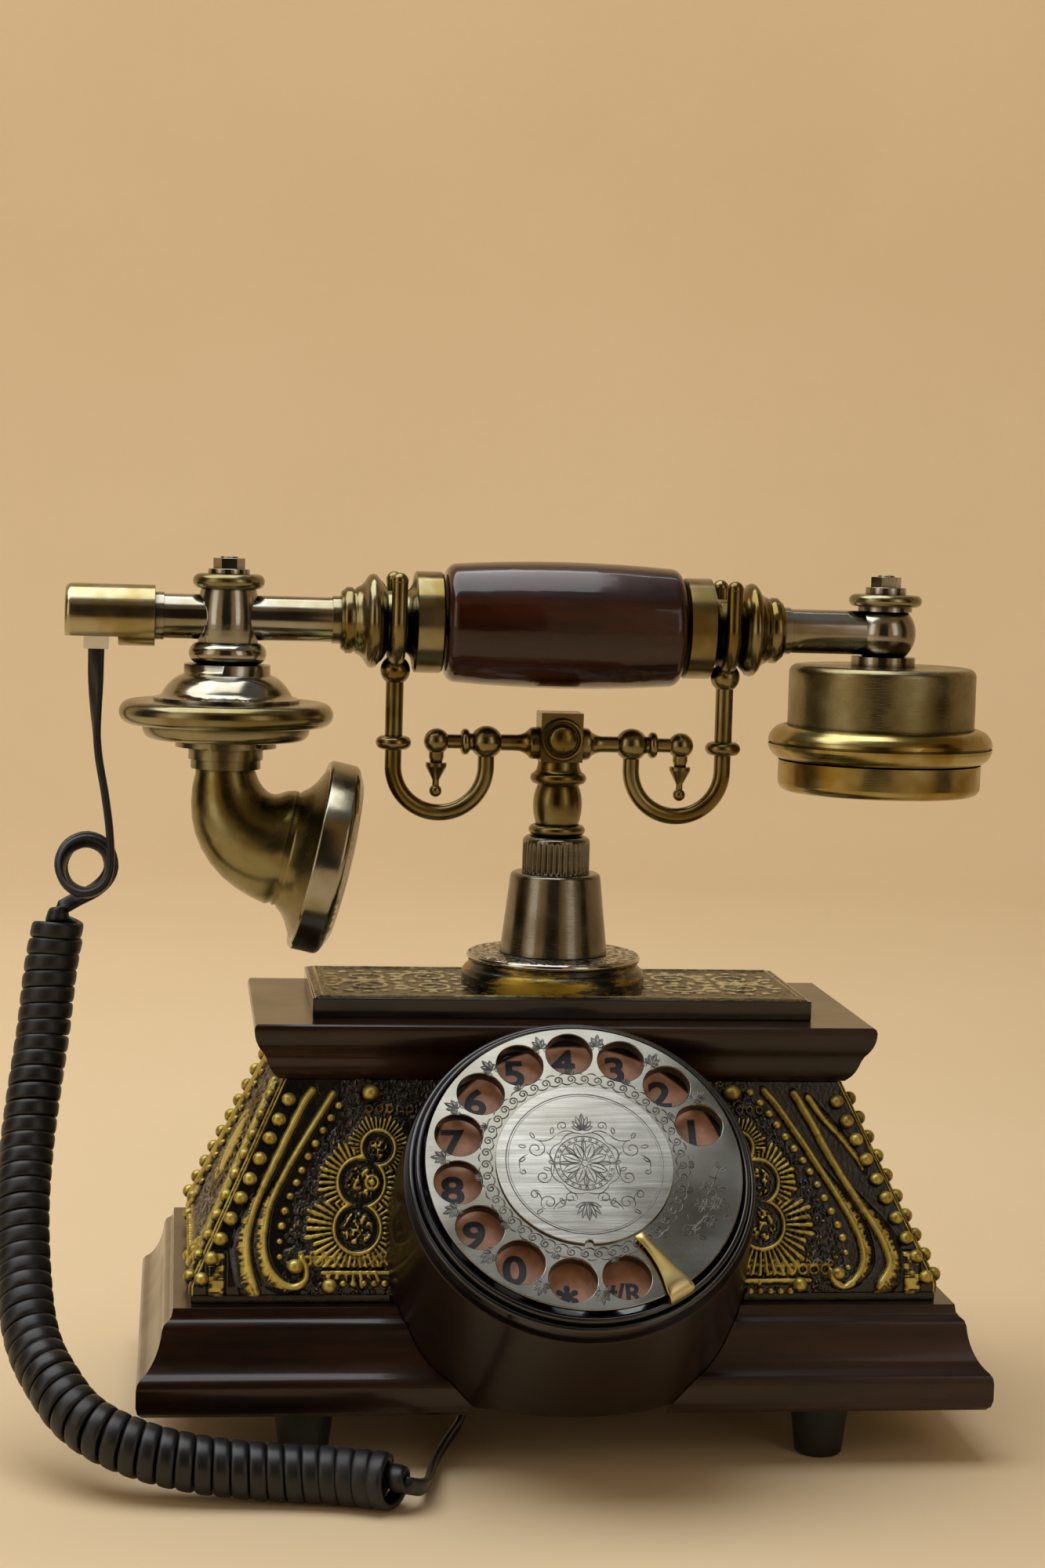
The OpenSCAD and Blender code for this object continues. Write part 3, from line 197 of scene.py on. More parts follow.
def oldMetal(name, dark, light, glow, gloss, brush=None, wear=0.9, turned=0, lines=0.2):
    # patina stays in the hollows, found by ambient occlusion, which also paints shade into the gaps between
    # neighbouring parts; the worn metal shows through it in clouds of light and glow
    shader, where = newFinish(name)
    # painted shade: ambient occlusion darkens creases and the gaps between parts, on top of the patina in the
    # hollows
    wornAndUnshaded = where.make("AmbientOcclusion", {"samples": 6}, {"Distance": 0.003}, 1).rise(0.1, 0.85)
    stain = noise(where, 95, 4, 0.6)
    smoke = noise(where, 28, 2)
    bare = (wornAndUnshaded + (stain - 0.5) * wear + (smoke - 0.5) * 0.5).rise(0.3, 1.0)
    tone = noise(where, 48, 3).rise(0.4, 0.62).blend(bare.blend(dark, light), bare.blend(dark, glow))
    rough = noise(where, 130, 3).rise(0.3, 0.7, gloss, gloss + 0.08) + (1 - bare) * 0.14
    grit = (noise(where, 240, 3, 0.6, brush), lines, 0.00012) if brush else (stain, 0.04, 0.0002)
    dress(shader, *grit, Base_Color=tone, Roughness=rough, Metallic=1, Anisotropic=turned)


def giltCasting(name, shadow, warm, pale, ground):
    # the gilt attribute of a mesh says where the gilding has stayed; on the beads it also holds painted light from
    # above
    shader, where = newFinish(name)
    gilt = where.make("Attribute", {"attribute_name": "gilt"}, {}, 2)
    patch = noise(where, 330, 4, 0.65)
    scuff = noise(where, 1100, 3, 0.6)
    gold = (gilt * 1.15 + (patch - 0.5) * 1.5 + (scuff - 0.5) * 1.3).rise(0.4, 0.72)
    worn = noise(where, 75, 3).rise(0.4, 0.62).blend(shadow, warm)
    shine = (gilt + (patch - 0.5) * 0.8).rise(0.62, 1.05).blend(worn, pale)
    base = noise(where, 110, 3).rise(0.42, 0.62).blend((12, 12, 13), ground)
    dress(shader, patch * 0.4 + scuff * 0.6, 0.45, 0.0003, Base_Color=gold.blend(base, shine),
          Roughness=gold.rise(0, 1, 0.2, 0.4), Metallic=gold * 0.7)


def streakyGilt(name, bare, gilt):
    shader, where = newFinish(name)
    streak = noise(where, 70, 6, 0.7, (1, 1, 5))
    gold = (streak + (noise(where, 30, 2) - 0.5) * 0.9).rise(0.46, 0.6)
    dress(shader, streak, 0.25, 0.0003, Base_Color=gold.blend(bare, gilt),
          Roughness=gold.rise(0, 1, 0.2, 0.36), Metallic=gold * 0.75)


def stippledDisc(name, top):
    # bright rim, and a grainy silver top inside it
    shader, where = newFinish(name)
    high = where.make("SeparateXYZ", {}, {"Vector": where}, 2).rise(top - 0.0002, top - 0.00005)
    grains = where.make("TexVoronoi", {}, {"Vector": where, "Scale": 900.0}) * 1.4
    fleck = noise(where, 700, 3, 0.6).rise(0.42, 0.6)
    shade = high.blend((186, 184, 176), fleck.blend((36, 34, 32), (214, 210, 198)))
    rough = high.rise(0, 1, 0.08, 0.32)
    dress(shader, grains * high, 0.7, 0.0004, Base_Color=shade, Roughness=rough, Metallic=1)


def dialSilver(name, brushed):
    shader, where = newFinish(name)
    cloud = noise(where, 26, 3)
    streak = noise(where, 320, 4, 0.6, (0.12, 2.5, 2.5))
    tone = (cloud * 0.8 + streak * (0.35 if brushed else 0.08)).rise(0.3, 0.8)
    shade = tone.blend((116, 113, 101), (196, 195, 188))
    rough = cloud.rise(0.3, 0.7, 0.13, 0.2) + brushed * 0.05
    dress(shader, streak, 0.22 if brushed else 0.04, 0.0001, Base_Color=shade, Roughness=rough, Metallic=1)


def plain(name, dark, light, gloss, scale=180, depth=0.00015, strength=0.2, others=None):
    shader, where = newFinish(name)
    speck = noise(where, scale, 4, 0.6)
    rough = noise(where, 40, 3).rise(0.3, 0.7, gloss, gloss + 0.12)
    shade = speck.rise(0.35, 0.68).blend(dark, light)
    dress(shader, speck, strength, depth, Base_Color=shade, Roughness=rough, **(others or {}))


# dark, light, grain, gloss, coat, the coat's gloss, depth of the grain
woods = {
    "mahogany": ((17, 8, 5), (48, 26, 15), (0.35, 2.4, 2.4), 0.28),
    "drumWood": ((14, 7, 4), (36, 19, 10), (0.35, 2.4, 2.4), 0.34, 0.3),
    "gripWood": ((24, 7, 3), (60, 24, 8), (0.3, 2.2, 2.2), 0.24, 0.8, 0.08, 0.03)}
# dark, light, glow, gloss, way of the brushing, wear, turned, strength of the brushed lines
metals = {
    "tubeNickel": ((20, 19, 19), (160, 158, 150), (138, 130, 104), 0.13, None, 0.4),
    "bellSilver": ((20, 19, 19), (168, 166, 158), (146, 138, 108), 0.12, None, 0.4, 0.3),
    "saucerBrass": ((26, 24, 18), (146, 140, 112), (122, 112, 72), 0.18, None, 0.5, 0.4),
    "collarBrass": ((22, 20, 16), (142, 134, 104), (114, 98, 54), 0.18, None, 0.6),
    "capSatin": ((34, 31, 22), (172, 164, 132), (148, 132, 84), 0.2, (0.25, 9, 9), 0.3, 0, 0.12),
    "cupBrass": ((32, 29, 21), (142, 136, 106), (122, 112, 74), 0.22, (1, 1, 12), 0.3, 0.6, 0.4),
    "ringBrass": ((36, 31, 17), (174, 162, 112), (144, 120, 54), 0.18, (1, 1, 9), 0.5, 0.5, 0.1),
    "hornBrass": ((26, 24, 17), (138, 130, 94), (114, 102, 56), 0.22, None, 0.5),
    "rimNickel": ((26, 25, 21), (168, 165, 154), (142, 136, 112), 0.15, (4, 1, 4), 0.3, 0, 0.1),
    "antiqueBrass": ((22, 20, 17), (134, 122, 84), (112, 94, 48), 0.2, None, 0.7),
    "darkNickel": ((22, 21, 19), (132, 128, 116), (112, 106, 90), 0.14, (1, 1, 12), 0.3, 0.6, 0.35),
    "stopBrass": ((104, 88, 44), (206, 197, 156), (196, 172, 104), 0.28),
    "gearBrass": ((60, 44, 14), (200, 168, 90), (190, 150, 70), 0.3),
    "steel": ((60, 60, 60), (190, 190, 188), (170, 170, 168), 0.3),
    "springSteel": ((40, 42, 48), (130, 134, 142), (110, 114, 124), 0.28)}
# dark, light, gloss, scale, depth and strength of the grain, other inputs
plains = {
    "bezelBlack": ((10, 10, 12), (19, 20, 24), 0.14, 180, 0.00015, 0.2,
                   {"Coat_Weight": 0.5, "Coat_Roughness": 0.06}),
    "copperCard": ((158, 114, 90), (184, 136, 108), 0.4, 300, 0.0001, 0.1),
    "digitInk": ((28, 33, 44), (36, 42, 54), 0.5, 200, 0.00005, 0.05),
    "engraving": ((80, 81, 81), (118, 118, 115), 0.28, 300, 0.00005, 0.1, {"Metallic": 0.9}),
    "blackPlastic": ((14, 14, 15), (24, 24, 25), 0.4),
    "contactResin": ((176, 160, 120), (196, 180, 140), 0.45),
    "boardGreen": ((14, 62, 36), (22, 84, 50), 0.4),
    "blackRubber": ((9, 9, 9), (20, 20, 20), 0.5, 90),
    "cordBlack": ((8, 9, 13), (14, 16, 21), 0.36, 160, 0.0001, 0.12),
    "clearPlastic": ((226, 230, 232), (240, 243, 245), 0.08, 120, 0.00005, 0.05,
                     {"Transmission_Weight": 0.85, "IOR": 1.49}),
    "goldContact": ((196, 160, 70), (214, 180, 92), 0.25, 180, 0.00015, 0.2, {"Metallic": 1})}
# shadow, warm gold, pale gold, ground
gilts = {
    "giltRelief": ((112, 88, 22), (164, 142, 48), (206, 190, 104), (28, 24, 20)),
    "deckGilt": ((92, 78, 40), (138, 124, 70), (206, 200, 160), (34, 30, 22))}
for make, styles in ((lacqueredWood, woods), (oldMetal, metals), (plain, plains), (giltCasting, gilts)):
    for name, style in styles.items():
        make(name, *style)
streakyGilt("bossGilt", (17, 15, 11), (150, 126, 42))
stippledDisc("discNickel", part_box("stem_disc")[1].z)
dialSilver("wheelSilver", False)
dialSilver("plateSilver", True)


def finishOf(slot):
    # a slot wears the finish of its own name, apart from three
    odd = {"antique_gilt": "giltRelief", "silver_brass": "bellSilver", "wheel_metal": "wheelSilver"}
    first, *rest = slot.split("_")
    return finishes[odd.get(slot, first + "".join(word.title() for word in rest))]


print("finishes made")


# pieces
def thingFrom(bm, name, finish):
    mesh = bpy.data.meshes.new(name)
    bm.to_mesh(mesh)
    bm.free()
    mesh.materials.append(finish)
    mesh.shade_smooth()
    thing = bpy.data.objects.new(name, mesh)
    scene.collection.objects.link(thing)
    return thing


def pieceFrom(bm, name, body, slot, smooth=32, finish=None, outward=True):
    # a piece wears its slot's finish unless another is named
    if outward:
        bmesh.ops.recalc_face_normals(bm, faces=bm.faces)
    piece = thingFrom(bm, name, finishes[finish] if finish else finishOf(slot))
    piece.data.set_sharp_from_angle(angle=math.radians(smooth))
    if body:
        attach(piece, body)
    return piece


def soften(piece, width, angle=38):
    edge = piece.modifiers.new("edge", "BEVEL")
    edge.width = width * mm
    edge.segments = 2
    edge.limit_method = "ANGLE"
    edge.angle_limit = math.radians(angle)
    edge.miter_outer = "MITER_ARC"


merging = {"gap": 2e-6, "flat": 0.4}


def refine(node, finish=None, edge=0, smooth=32):
    # a copy of a node with its faces merged, its rounds smooth and its edges softened
    bm = bmesh.new()
    bm.from_mesh(frame["nodes"][node].data)
    bmesh.ops.remove_doubles(bm, verts=bm.verts, dist=merging["gap"])
    bmesh.ops.dissolve_limit(bm, angle_limit=math.radians(merging["flat"]), verts=bm.verts, edges=bm.edges)
    name = node.replace("_", "-")
    piece = pieceFrom(bm, name, bodyOf[node], slotOf[node], smooth, finish, False)
    if edge:
        soften(piece, edge)
    evened = piece.modifiers.new("evened", "WEIGHTED_NORMAL")
    evened.keep_sharp = True
    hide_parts(node)


# the curly cord, from the plug in the end cap to the plug in the base
cordSizes = {"wide": 4.7, "thick": 2.3, "coil": 7.75, "pitch": 4.85, "ramp": 7.0, "perTurn": 28, "sides": 14,
             "twist": 26, "step": 1.5, "corner": 0.62}
looseTurns = {"centre": (-137.6, 0.5, 159.2), "radius": 7.2, "count": 2, "points": 17, "front": -5.8,
              "back": 5.4, "lean": 0.5}


def looseRoute():
    # the slack turns the cord takes before it starts to coil
    x, y, z = looseTurns["centre"]
    out = []
    for i in range(looseTurns["points"]):
        share = i / (looseTurns["points"] - 1)
        a = 2 * math.pi * looseTurns["count"] * share
        right, up = looseTurns["radius"] * math.cos(a), -looseTurns["radius"] * math.sin(a)
        away = looseTurns["front"] + (looseTurns["back"] - looseTurns["front"]) * share
        out.append((x + right, y + away + looseTurns["lean"] * up, z + up))
    return out


tailRoute = ([(-135.5, 0, 222.5), (-135.5, 0, 214), (-135.3, 0, 204), (-134.4, -1, 192), (-132.2, -3, 180),
              (-130.7, -4.2, 169)] + looseRoute() +
             [(-131.6, 6.2, 155), (-135, 6, 151.6), (-139.8, 4.2, 149.2), (-144, 2, 147)])
coilRoute = [(-144, 2, 147), (-147, 0, 131), (-149, -5, 111), (-151, -12, 95),
             (-152.5, -19, 80), (-153, -29, 65), (-152, -39, 51), (-150, -50, 39.5), (-147, -58, 32),
             (-142, -67, 26), (-136, -75, 20.5), (-128, -81, 16.5), (-117, -85, 13), (-105, -87, 10.5),
             (-93, -88, 9), (-81, -89, 8.2), (-68, -91, 8), (-56, -95, 8), (-48, -100, 8)]
leadRoute = [(-48, -100, 8), (-44, -94, 5.5), (-41, -82, 3), (-38, -66, 2.4), (-33, -48, 2.4),
             (-28, -32, 2.4), (-25, -21, 4.5), (-24, -15, 9.5), (-24, -14, 14), (-24, -14, 19)]


def evenly(route, step):
    # a smooth line through the route's points, cut into even steps
    points = [Vector(p) for p in route]
    fine = 24
    ends = [2 * points[0] - points[1]] + points + [2 * points[-1] - points[-2]]
    dense = []
    for i in range(1, len(ends) - 2):
        a, b, c, d = ends[i - 1:i + 3]
        for k in range(fine):
            t = k / fine
            dense.append(0.5 * (2 * b + (c - a) * t + (2 * a - 5 * b + 4 * c - d) * t ** 2
                                + (3 * b - a - 3 * c + d) * t ** 3))
    dense.append(points[-1])
    run = [0.0]
    for a, b in zip(dense, dense[1:]):
        run.append(run[-1] + (b - a).length)
    count = max(2, round(run[-1] / step))
    out, k = [], 0
    for i in range(count + 1):
        want = run[-1] * i / count
        while k < len(run) - 2 and run[k + 1] < want:
            k += 1
        share = (want - run[k]) / max(run[k + 1] - run[k], 1e-9)
        out.append(dense[k].lerp(dense[k + 1], min(max(share, 0), 1)))
    return out


def cordLine():
    # the cord's middle, and the way its flat side faces at each point
    size = cordSizes
    step = size["pitch"] / size["perTurn"]
    tail, lead = evenly(tailRoute, size["step"]), evenly(leadRoute, size["step"])
    coil = evenly(coilRoute, step)
    spine = tail[:-1] + coil + lead[1:]
    first, last = len(tail) - 1, len(tail) - 1 + len(coil) - 1
    radius = size["coil"] - size["thick"] / 2
    across = Vector((0, 1, 0))
    centres, outs = [], []
    turn = 0.0
    for i, point in enumerate(spine):
        ahead = (spine[min(i + 1, len(spine) - 1)] - spine[max(i - 1, 0)]).normalized()
        across = (across - ahead * across.dot(ahead)).normalized()
        side = ahead.cross(across)
        run = (i - first) * step
        left = (last - i) * step
        swell = 0.0
        if run < 0:
            turn = math.pi / 2 * min(1, i * size["step"] / size["twist"])
        elif 0 <= left:
            swell = min(1, run / size["ramp"], left / size["ramp"])
            swell = swell * swell * (3 - 2 * swell)
            turn = math.pi / 2 + 2 * math.pi * run / size["pitch"]
        out = across * math.cos(turn) + side * math.sin(turn)
        centres.append(point + out * radius * swell)
        outs.append(out)
    return centres, outs


def flatCord():
    size = cordSizes
    centres, outs = cordLine()
    bm = bmesh.new()
    rings = []
    for i, centre in enumerate(centres):
        ahead = (centres[min(i + 1, len(centres) - 1)] - centres[max(i - 1, 0)]).normalized()
        thin = (outs[i] - ahead * outs[i].dot(ahead)).normalized()
        wide = ahead.cross(thin)
        ring = []
        for k in range(size["sides"]):
            a = 2 * math.pi * k / size["sides"]
            c, s = math.cos(a), math.sin(a)
            reachW = size["wide"] / 2 * math.copysign(abs(c) ** size["corner"], c)
            reachT = size["thick"] / 2 * math.copysign(abs(s) ** size["corner"], s)
            ring.append(bm.verts.new(atStem(centre + wide * reachW + thin * reachT)))
        rings.append(ring)
    for a, b in zip(rings, rings[1:]):
        for k in range(size["sides"]):
            n = (k + 1) % size["sides"]
            bm.faces.new((a[k], a[n], b[n], b[k]))
    bm.faces.new(rings[0][::-1])
    bm.faces.new(rings[-1])
    cord = pieceFrom(bm, "curly-cord", None, "cord_black", 50)
    path = [atStem(c) for c in centres]
    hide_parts("cord_tail", "curly_cord", "cord_lead")
    plugTop = atStem(tailRoute[0])
    atStem((-150, -40, 45))
    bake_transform(cord)


def clearPlugs():
    # each clear modular plug, with its row of gilt contacts inside
    sizes = {"contacts": 4, "gap": 1.27, "blade": (0.32, 3.4, 4.2), "back": 0.6, "down": 3.2, "edge": 0.45,
             "bladeEdge": 0.06}
    for node in ("handset_plug", "base_plug"):
        refine(node, "clearPlastic", sizes["edge"])
        low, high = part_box(node)
        bm = bmesh.new()
        y, z = (low.y + high.y) / 2 + sizes["back"] * mm, high.z - sizes["down"] * mm
        for i in range(sizes["contacts"]):
            x = (low.x + high.x) / 2 + (i - (sizes["contacts"] - 1) / 2) * sizes["gap"] * mm
            made = bmesh.ops.create_cube(bm, size=1)["verts"]
            bmesh.ops.scale(bm, vec=Vector(sizes["blade"]) * mm, verts=made)
            bmesh.ops.translate(bm, vec=(x, y, z), verts=made)
        bmesh.ops.bevel(bm, geom=bm.edges[:], offset=sizes["bladeEdge"] * mm, offset_type="OFFSET",
                        affect="EDGES", segments=1, profile=0.5, material=-1)
        name = node.replace("_", "-") + "-contacts"
        pieceFrom(bm, name, bodyOf[node], "stop_brass", finish="goldContact")


clearPlugs()
flatCord()
print("cord made")

# pieces that keep the frame's own shape: finish (or the slot's own), and how far their edges are softened
refined = {
    "body_shell": (None, 0.3), "boss_ring": (None, 0), "number_plate": (None, 0.1),
    "rubber_feet": (None, 0.4), "stem_cone": (None, 0.25), "cradle_post": (None, 0.18),
    "cradle_arms": (None, 0.12), "left_hook": (None, 0), "right_hook": (None, 0),
    "clamp_bolts": (None, 0.3), "plinth": (None, 0.8), "cornice": (None, 0.8),
    "dial_drum": ("drumWood", 0.5), "stem_disc": ("discNickel", 0), "deck_plate": ("bezelBlack", 0.35),
    "handset_grip": ("gripWood", 0), "side_tubes": ("tubeNickel", 0), "mouth_tee": ("tubeNickel", 0),
    "ear_ball": ("tubeNickel", 0), "grip_collars": ("collarBrass", 0), "cap_rings": ("saucerBrass", 0),
    "mouth_bell": ("bellSilver", 0), "mouth_saucer": ("saucerBrass", 0), "end_cap": ("capSatin", 0.25),
    "mouth_horn": ("hornBrass", 0, 50), "mouthpiece_cap": ("rimNickel", 0), "ear_cup": ("cupBrass", 0),
    "ear_ring": ("ringBrass", 0), "ear_cap": ("ringBrass", 0), "finger_wheel": ("wheelSilver", 0.22),
    "centre_plate": ("plateSilver", 0.18)}
for node, style in refined.items():
    refine(node, *style)
print("frame pieces refined")

# the dial, in its own frame: x across, y up the face, z out of it
dialJoint = next(joint for joint in frame["joints"] if joint["name"] == "dial_turn")
dialOut = -Vector(dialJoint["axis"]).normalized()
dialUp = dialOut.cross(Vector((1, 0, 0)))
dialFace = Matrix((Vector((1, 0, 0)), dialUp, dialOut)).transposed().to_4x4()
dialFrame = Matrix.Translation(dialJoint["pos_m"]) @ dialFace
dial = {"holes": 12, "firstHole": 20.9, "holeStep": 24, "holeRing": 35.1, "plateDepth": 5.5, "stopAngle": 301,
        "centreTop": 0.8}


def around(radius, degrees):
    return radius * math.cos(math.radians(degrees)), radius * math.sin(math.radians(degrees))


def spun(bm, profile, steps, unit=mm):
    # a profile of (radius, height) spun once round the z axis
    verts = [bm.verts.new((r * unit, 0, z * unit)) for r, z in profile]
    edges = [bm.edges.new(pair) for pair in zip(verts, verts[1:])]
    bmesh.ops.spin(bm, geom=verts + edges, cent=(0, 0, 0), axis=(0, 0, 1), angle=2 * math.pi, steps=steps,
                   use_merge=True)


def turnedPart(profile, place, name, body, slot, steps, smooth):
    bm = bmesh.new()
    spun(bm, profile, steps)
    bmesh.ops.remove_doubles(bm, verts=bm.verts, dist=1e-6)
    bmesh.ops.transform(bm, matrix=place, verts=bm.verts)
    return pieceFrom(bm, name, body, slot, smooth)


def bezelRidges():
    # the black bezel: round ridges that step down, then the wall and ledge that carry the number plate
    ridges = {"bore": 44.2, "rim": 47.8, "top": -1.9, "drop": 2.0, "count": 2}
    wall = [(47.8, -9), (44.7, -9), (44.7, -14), (44.0, -14), (44.0, -10.5), (38.9, -10.5), (38.9, -6.5),
            (40.9, -6.5), (40.9, -5.1), (41.2, -4.7), (43.4, -4.4), (44.2, -3.9)]
    wide = (ridges["rim"] - ridges["bore"]) / ridges["count"]
    profile = [(ridges["bore"], -6.5), (ridges["bore"], ridges["top"] - 0.5)]
    for k in range(ridges["count"]):
        ridge = ridges["bore"] + wide * (k + 0.5)
        level = ridges["top"] - ridges["drop"] * k - wide / 2
        for a in range(165, -20, -15):
            across, up = around(wide / 2, a)
            profile.append((ridge + across, level + up))
    bezel = turnedPart(profile + wall, dialFrame, "dial-bezel", "base", "bezel_black", 160, 40)
    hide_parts("dial_bezel")


def fingerWells():
    # the black moulding under the metal wheel, which lines each finger hole
    bore, outer, top, foot = 6.6, 7.0, -1.15, -3.4
    ring = [(bore, top), (bore, foot), (outer, foot), (outer, top), (bore, top)]
    bm = bmesh.new()
    for i in range(dial["holes"]):
        x, y = around(dial["holeRing"], dial["firstHole"] + dial["holeStep"] * i)
        start = bm.verts[:]
        spun(bm, ring, 48)
        made = [v for v in bm.verts if v not in start]
        bmesh.ops.translate(bm, vec=(x * mm, y * mm, 0), verts=made)
    bmesh.ops.remove_doubles(bm, verts=bm.verts, dist=1e-6)
    bmesh.ops.transform(bm, matrix=dialFrame, verts=bm.verts)
    pieceFrom(bm, "finger-wells", "finger_wheel", "bezel_black", 40)


def fingerStop():
    # rows of (radius, height, half width, lean) from the blade's tip over the wheel's edge to its foot
    rows = [(25.6, 1.45, 1.35, -0.5), (27.5, 1.45, 1.2, -0.25), (30, 1.45, 1.25, 0), (33, 1.45, 1.45, 0.1),
            (36, 1.45, 1.8, 0.1), (39, 1.45, 2.4, 0.0), (41.5, 1.42, 3.1, -0.1), (43.4, 1.3, 3.7, -0.1),
            (44.6, 0.8, 3.9, 0), (45.1, -0.2, 3.9, 0), (45.15, -1.6, 3.8, 0), (45.1, -3.6, 3.0, 0),
            (45.1, -6.2, 2.9, 0)]
    stop = {"thick": 1.25, "cells": 6, "crown": 0.22, "crownRows": 8, "edge": 0.25}
    bm = bmesh.new()
    turn = Matrix.Rotation(math.radians(dial["stopAngle"]), 4, "Z")
    bmesh.ops.create_grid(bm, x_segments=len(rows) - 1, y_segments=stop["cells"], size=1)
    for v in bm.verts:
        i = round((v.co.x + 1) / 2 * (len(rows) - 1))
        share = v.co.y
        r, z, half, lean = rows[i]
        crown = stop["crown"] * (1 - share * share) if i < stop["crownRows"] else 0
        v.co = dialFrame @ turn @ Vector((r * mm, (lean + half * share) * mm, (z + crown) * mm))
    piece = pieceFrom(bm, "finger-stop", "base", "stop_brass", 60)
    wall = piece.modifiers.new("wall", "SOLIDIFY")
    wall.thickness = stop["thick"] * mm
    wall.offset = 0
    soften(piece, stop["edge"], 50)
    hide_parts("finger_stop")


def meshOf(data):
    # what a text or a curve looks like, as a mesh
    holder = bpy.data.objects.new(data.name, data)
    scene.collection.objects.link(holder)
    bpy.context.view_layer.update()
    mesh = bpy.data.meshes.new_from_object(holder.evaluated_get(bpy.context.evaluated_depsgraph_get()))
    bpy.data.objects.remove(holder)
    return mesh


def digits():
    # printed figures on the number plate; the font's 9 is its 6 turned over
    style = {"figures": 10, "height": 8.7, "starHeight": 6.6, "smallHeight": 6.4, "lift": 0.03, "thick": 0.04,
             "bold": 0.3, "flat": 0.1, "widen": 1.12, "across": -1.1, "up": 0.4, "signUp": -2.2}
    bm = bmesh.new()
    for i, label in enumerate([*"1234567890*", "#/R"]):
        text = bpy.data.curves.new("digit", "FONT")
        text.body = "6" if label == "9" else label
        text.size = 10 * mm
        text.extrude = style["thick"] * mm
        text.bevel_depth = style["bold"] * mm
        mesh = meshOf(text)
        co = np.array([v.co for v in mesh.vertices])
        centre = (co.max(0) + co.min(0)) / 2
        tall = {"*": style["starHeight"], "#/R": style["smallHeight"]}.get(label, style["height"])
        grow = tall * mm / (co.max(0) - co.min(0))[1]
        figure = i < style["figures"]
        x, y = around(dial["holeRing"], dial["firstHole"] + dial["holeStep"] * i)
        place = ((x + style["across"]) * mm, (y + style["up" if figure else "signUp"]) * mm, 0)
        wide = style["widen"] if figure else 1.0
        flip = Matrix.Rotation(math.pi if label == "9" else 0, 4, "Z")
        shape = Matrix.Diagonal((grow * wide, grow, style["flat"], 1))
        home = Matrix.Translation((-centre[0], -centre[1], 0))
        mesh.transform(Matrix.Translation(place) @ flip @ shape @ home)
        bm.from_mesh(mesh)
    depth = -dial["plateDepth"] + style["lift"]
    bmesh.ops.transform(bm, matrix=dialFrame @ Matrix.Translation((0, 0, depth * mm)), verts=bm.verts)
    pieceFrom(bm, "dial-digits", "base", "copper_card", 40, "digitInk", False)


def strokes(lines, level, flat, name):
    # engraved lines, each a fine round bead half sunk in its plate; a line is (points, thickness)
    taper = {"tip": 0.45, "rise": 5}
    data = bpy.data.curves.new(name, "CURVE")
    data.dimensions = "3D"
    data.bevel_depth = mm
    data.bevel_resolution = 1
    data.use_fill_caps = True
    for points, thick in lines:
        line = data.splines.new("POLY")
        line.points.add(len(points) - 1)
        for i, (dot, (x, y)) in enumerate(zip(line.points, points)):
            dot.co = (x * mm, y * mm, 0, 1)
            share = i / (len(points) - 1)
            full = min(1, taper["rise"] * share, taper["rise"] * (1 - share))
            dot.radius = thick * (taper["tip"] + (1 - taper["tip"]) * full)
    bm = bmesh.new()
    bm.from_mesh(meshOf(data))
    place = dialFrame @ Matrix.Translation((0, 0, level * mm)) @ Matrix.Diagonal((1, 1, flat, 1))
    bmesh.ops.transform(bm, matrix=place, verts=bm.verts)
    pieceFrom(bm, name, "finger_wheel", "wheel_metal", 70, "engraving")


def scroll(x, y, outer, inner, start, turns, count=16):
    out = []
    for i in range(count):
        share = i / (count - 1)
        r = outer + (inner - outer) * share
        dx, dy = around(r, start + 360 * turns * share)
        out.append((x + dx, y + dy))
    return out


def bow(a, b, sag, count=9):
    # a bow from a to b whose middle stands sag to its left
    ax, ay, bx, by = *a, *b
    nx, ny = ay - by, bx - ax
    long = math.hypot(nx, ny) or 1
    out = []
    for i in range(count):
        t = i / (count - 1)
        rise = 4 * t * (1 - t) * sag / long
        out.append((ax + (bx - ax) * t + nx * rise, ay + (by - ay) * t + ny * rise))
    return out


def leaf(root, degrees, long, wide, vein=False):
    tip = (root[0] + around(long, degrees)[0], root[1] + around(long, degrees)[1])
    return [bow(root, tip, wide), bow(root, tip, -wide)] + ([bow(root, tip, 0.1, 4)] if vein else [])


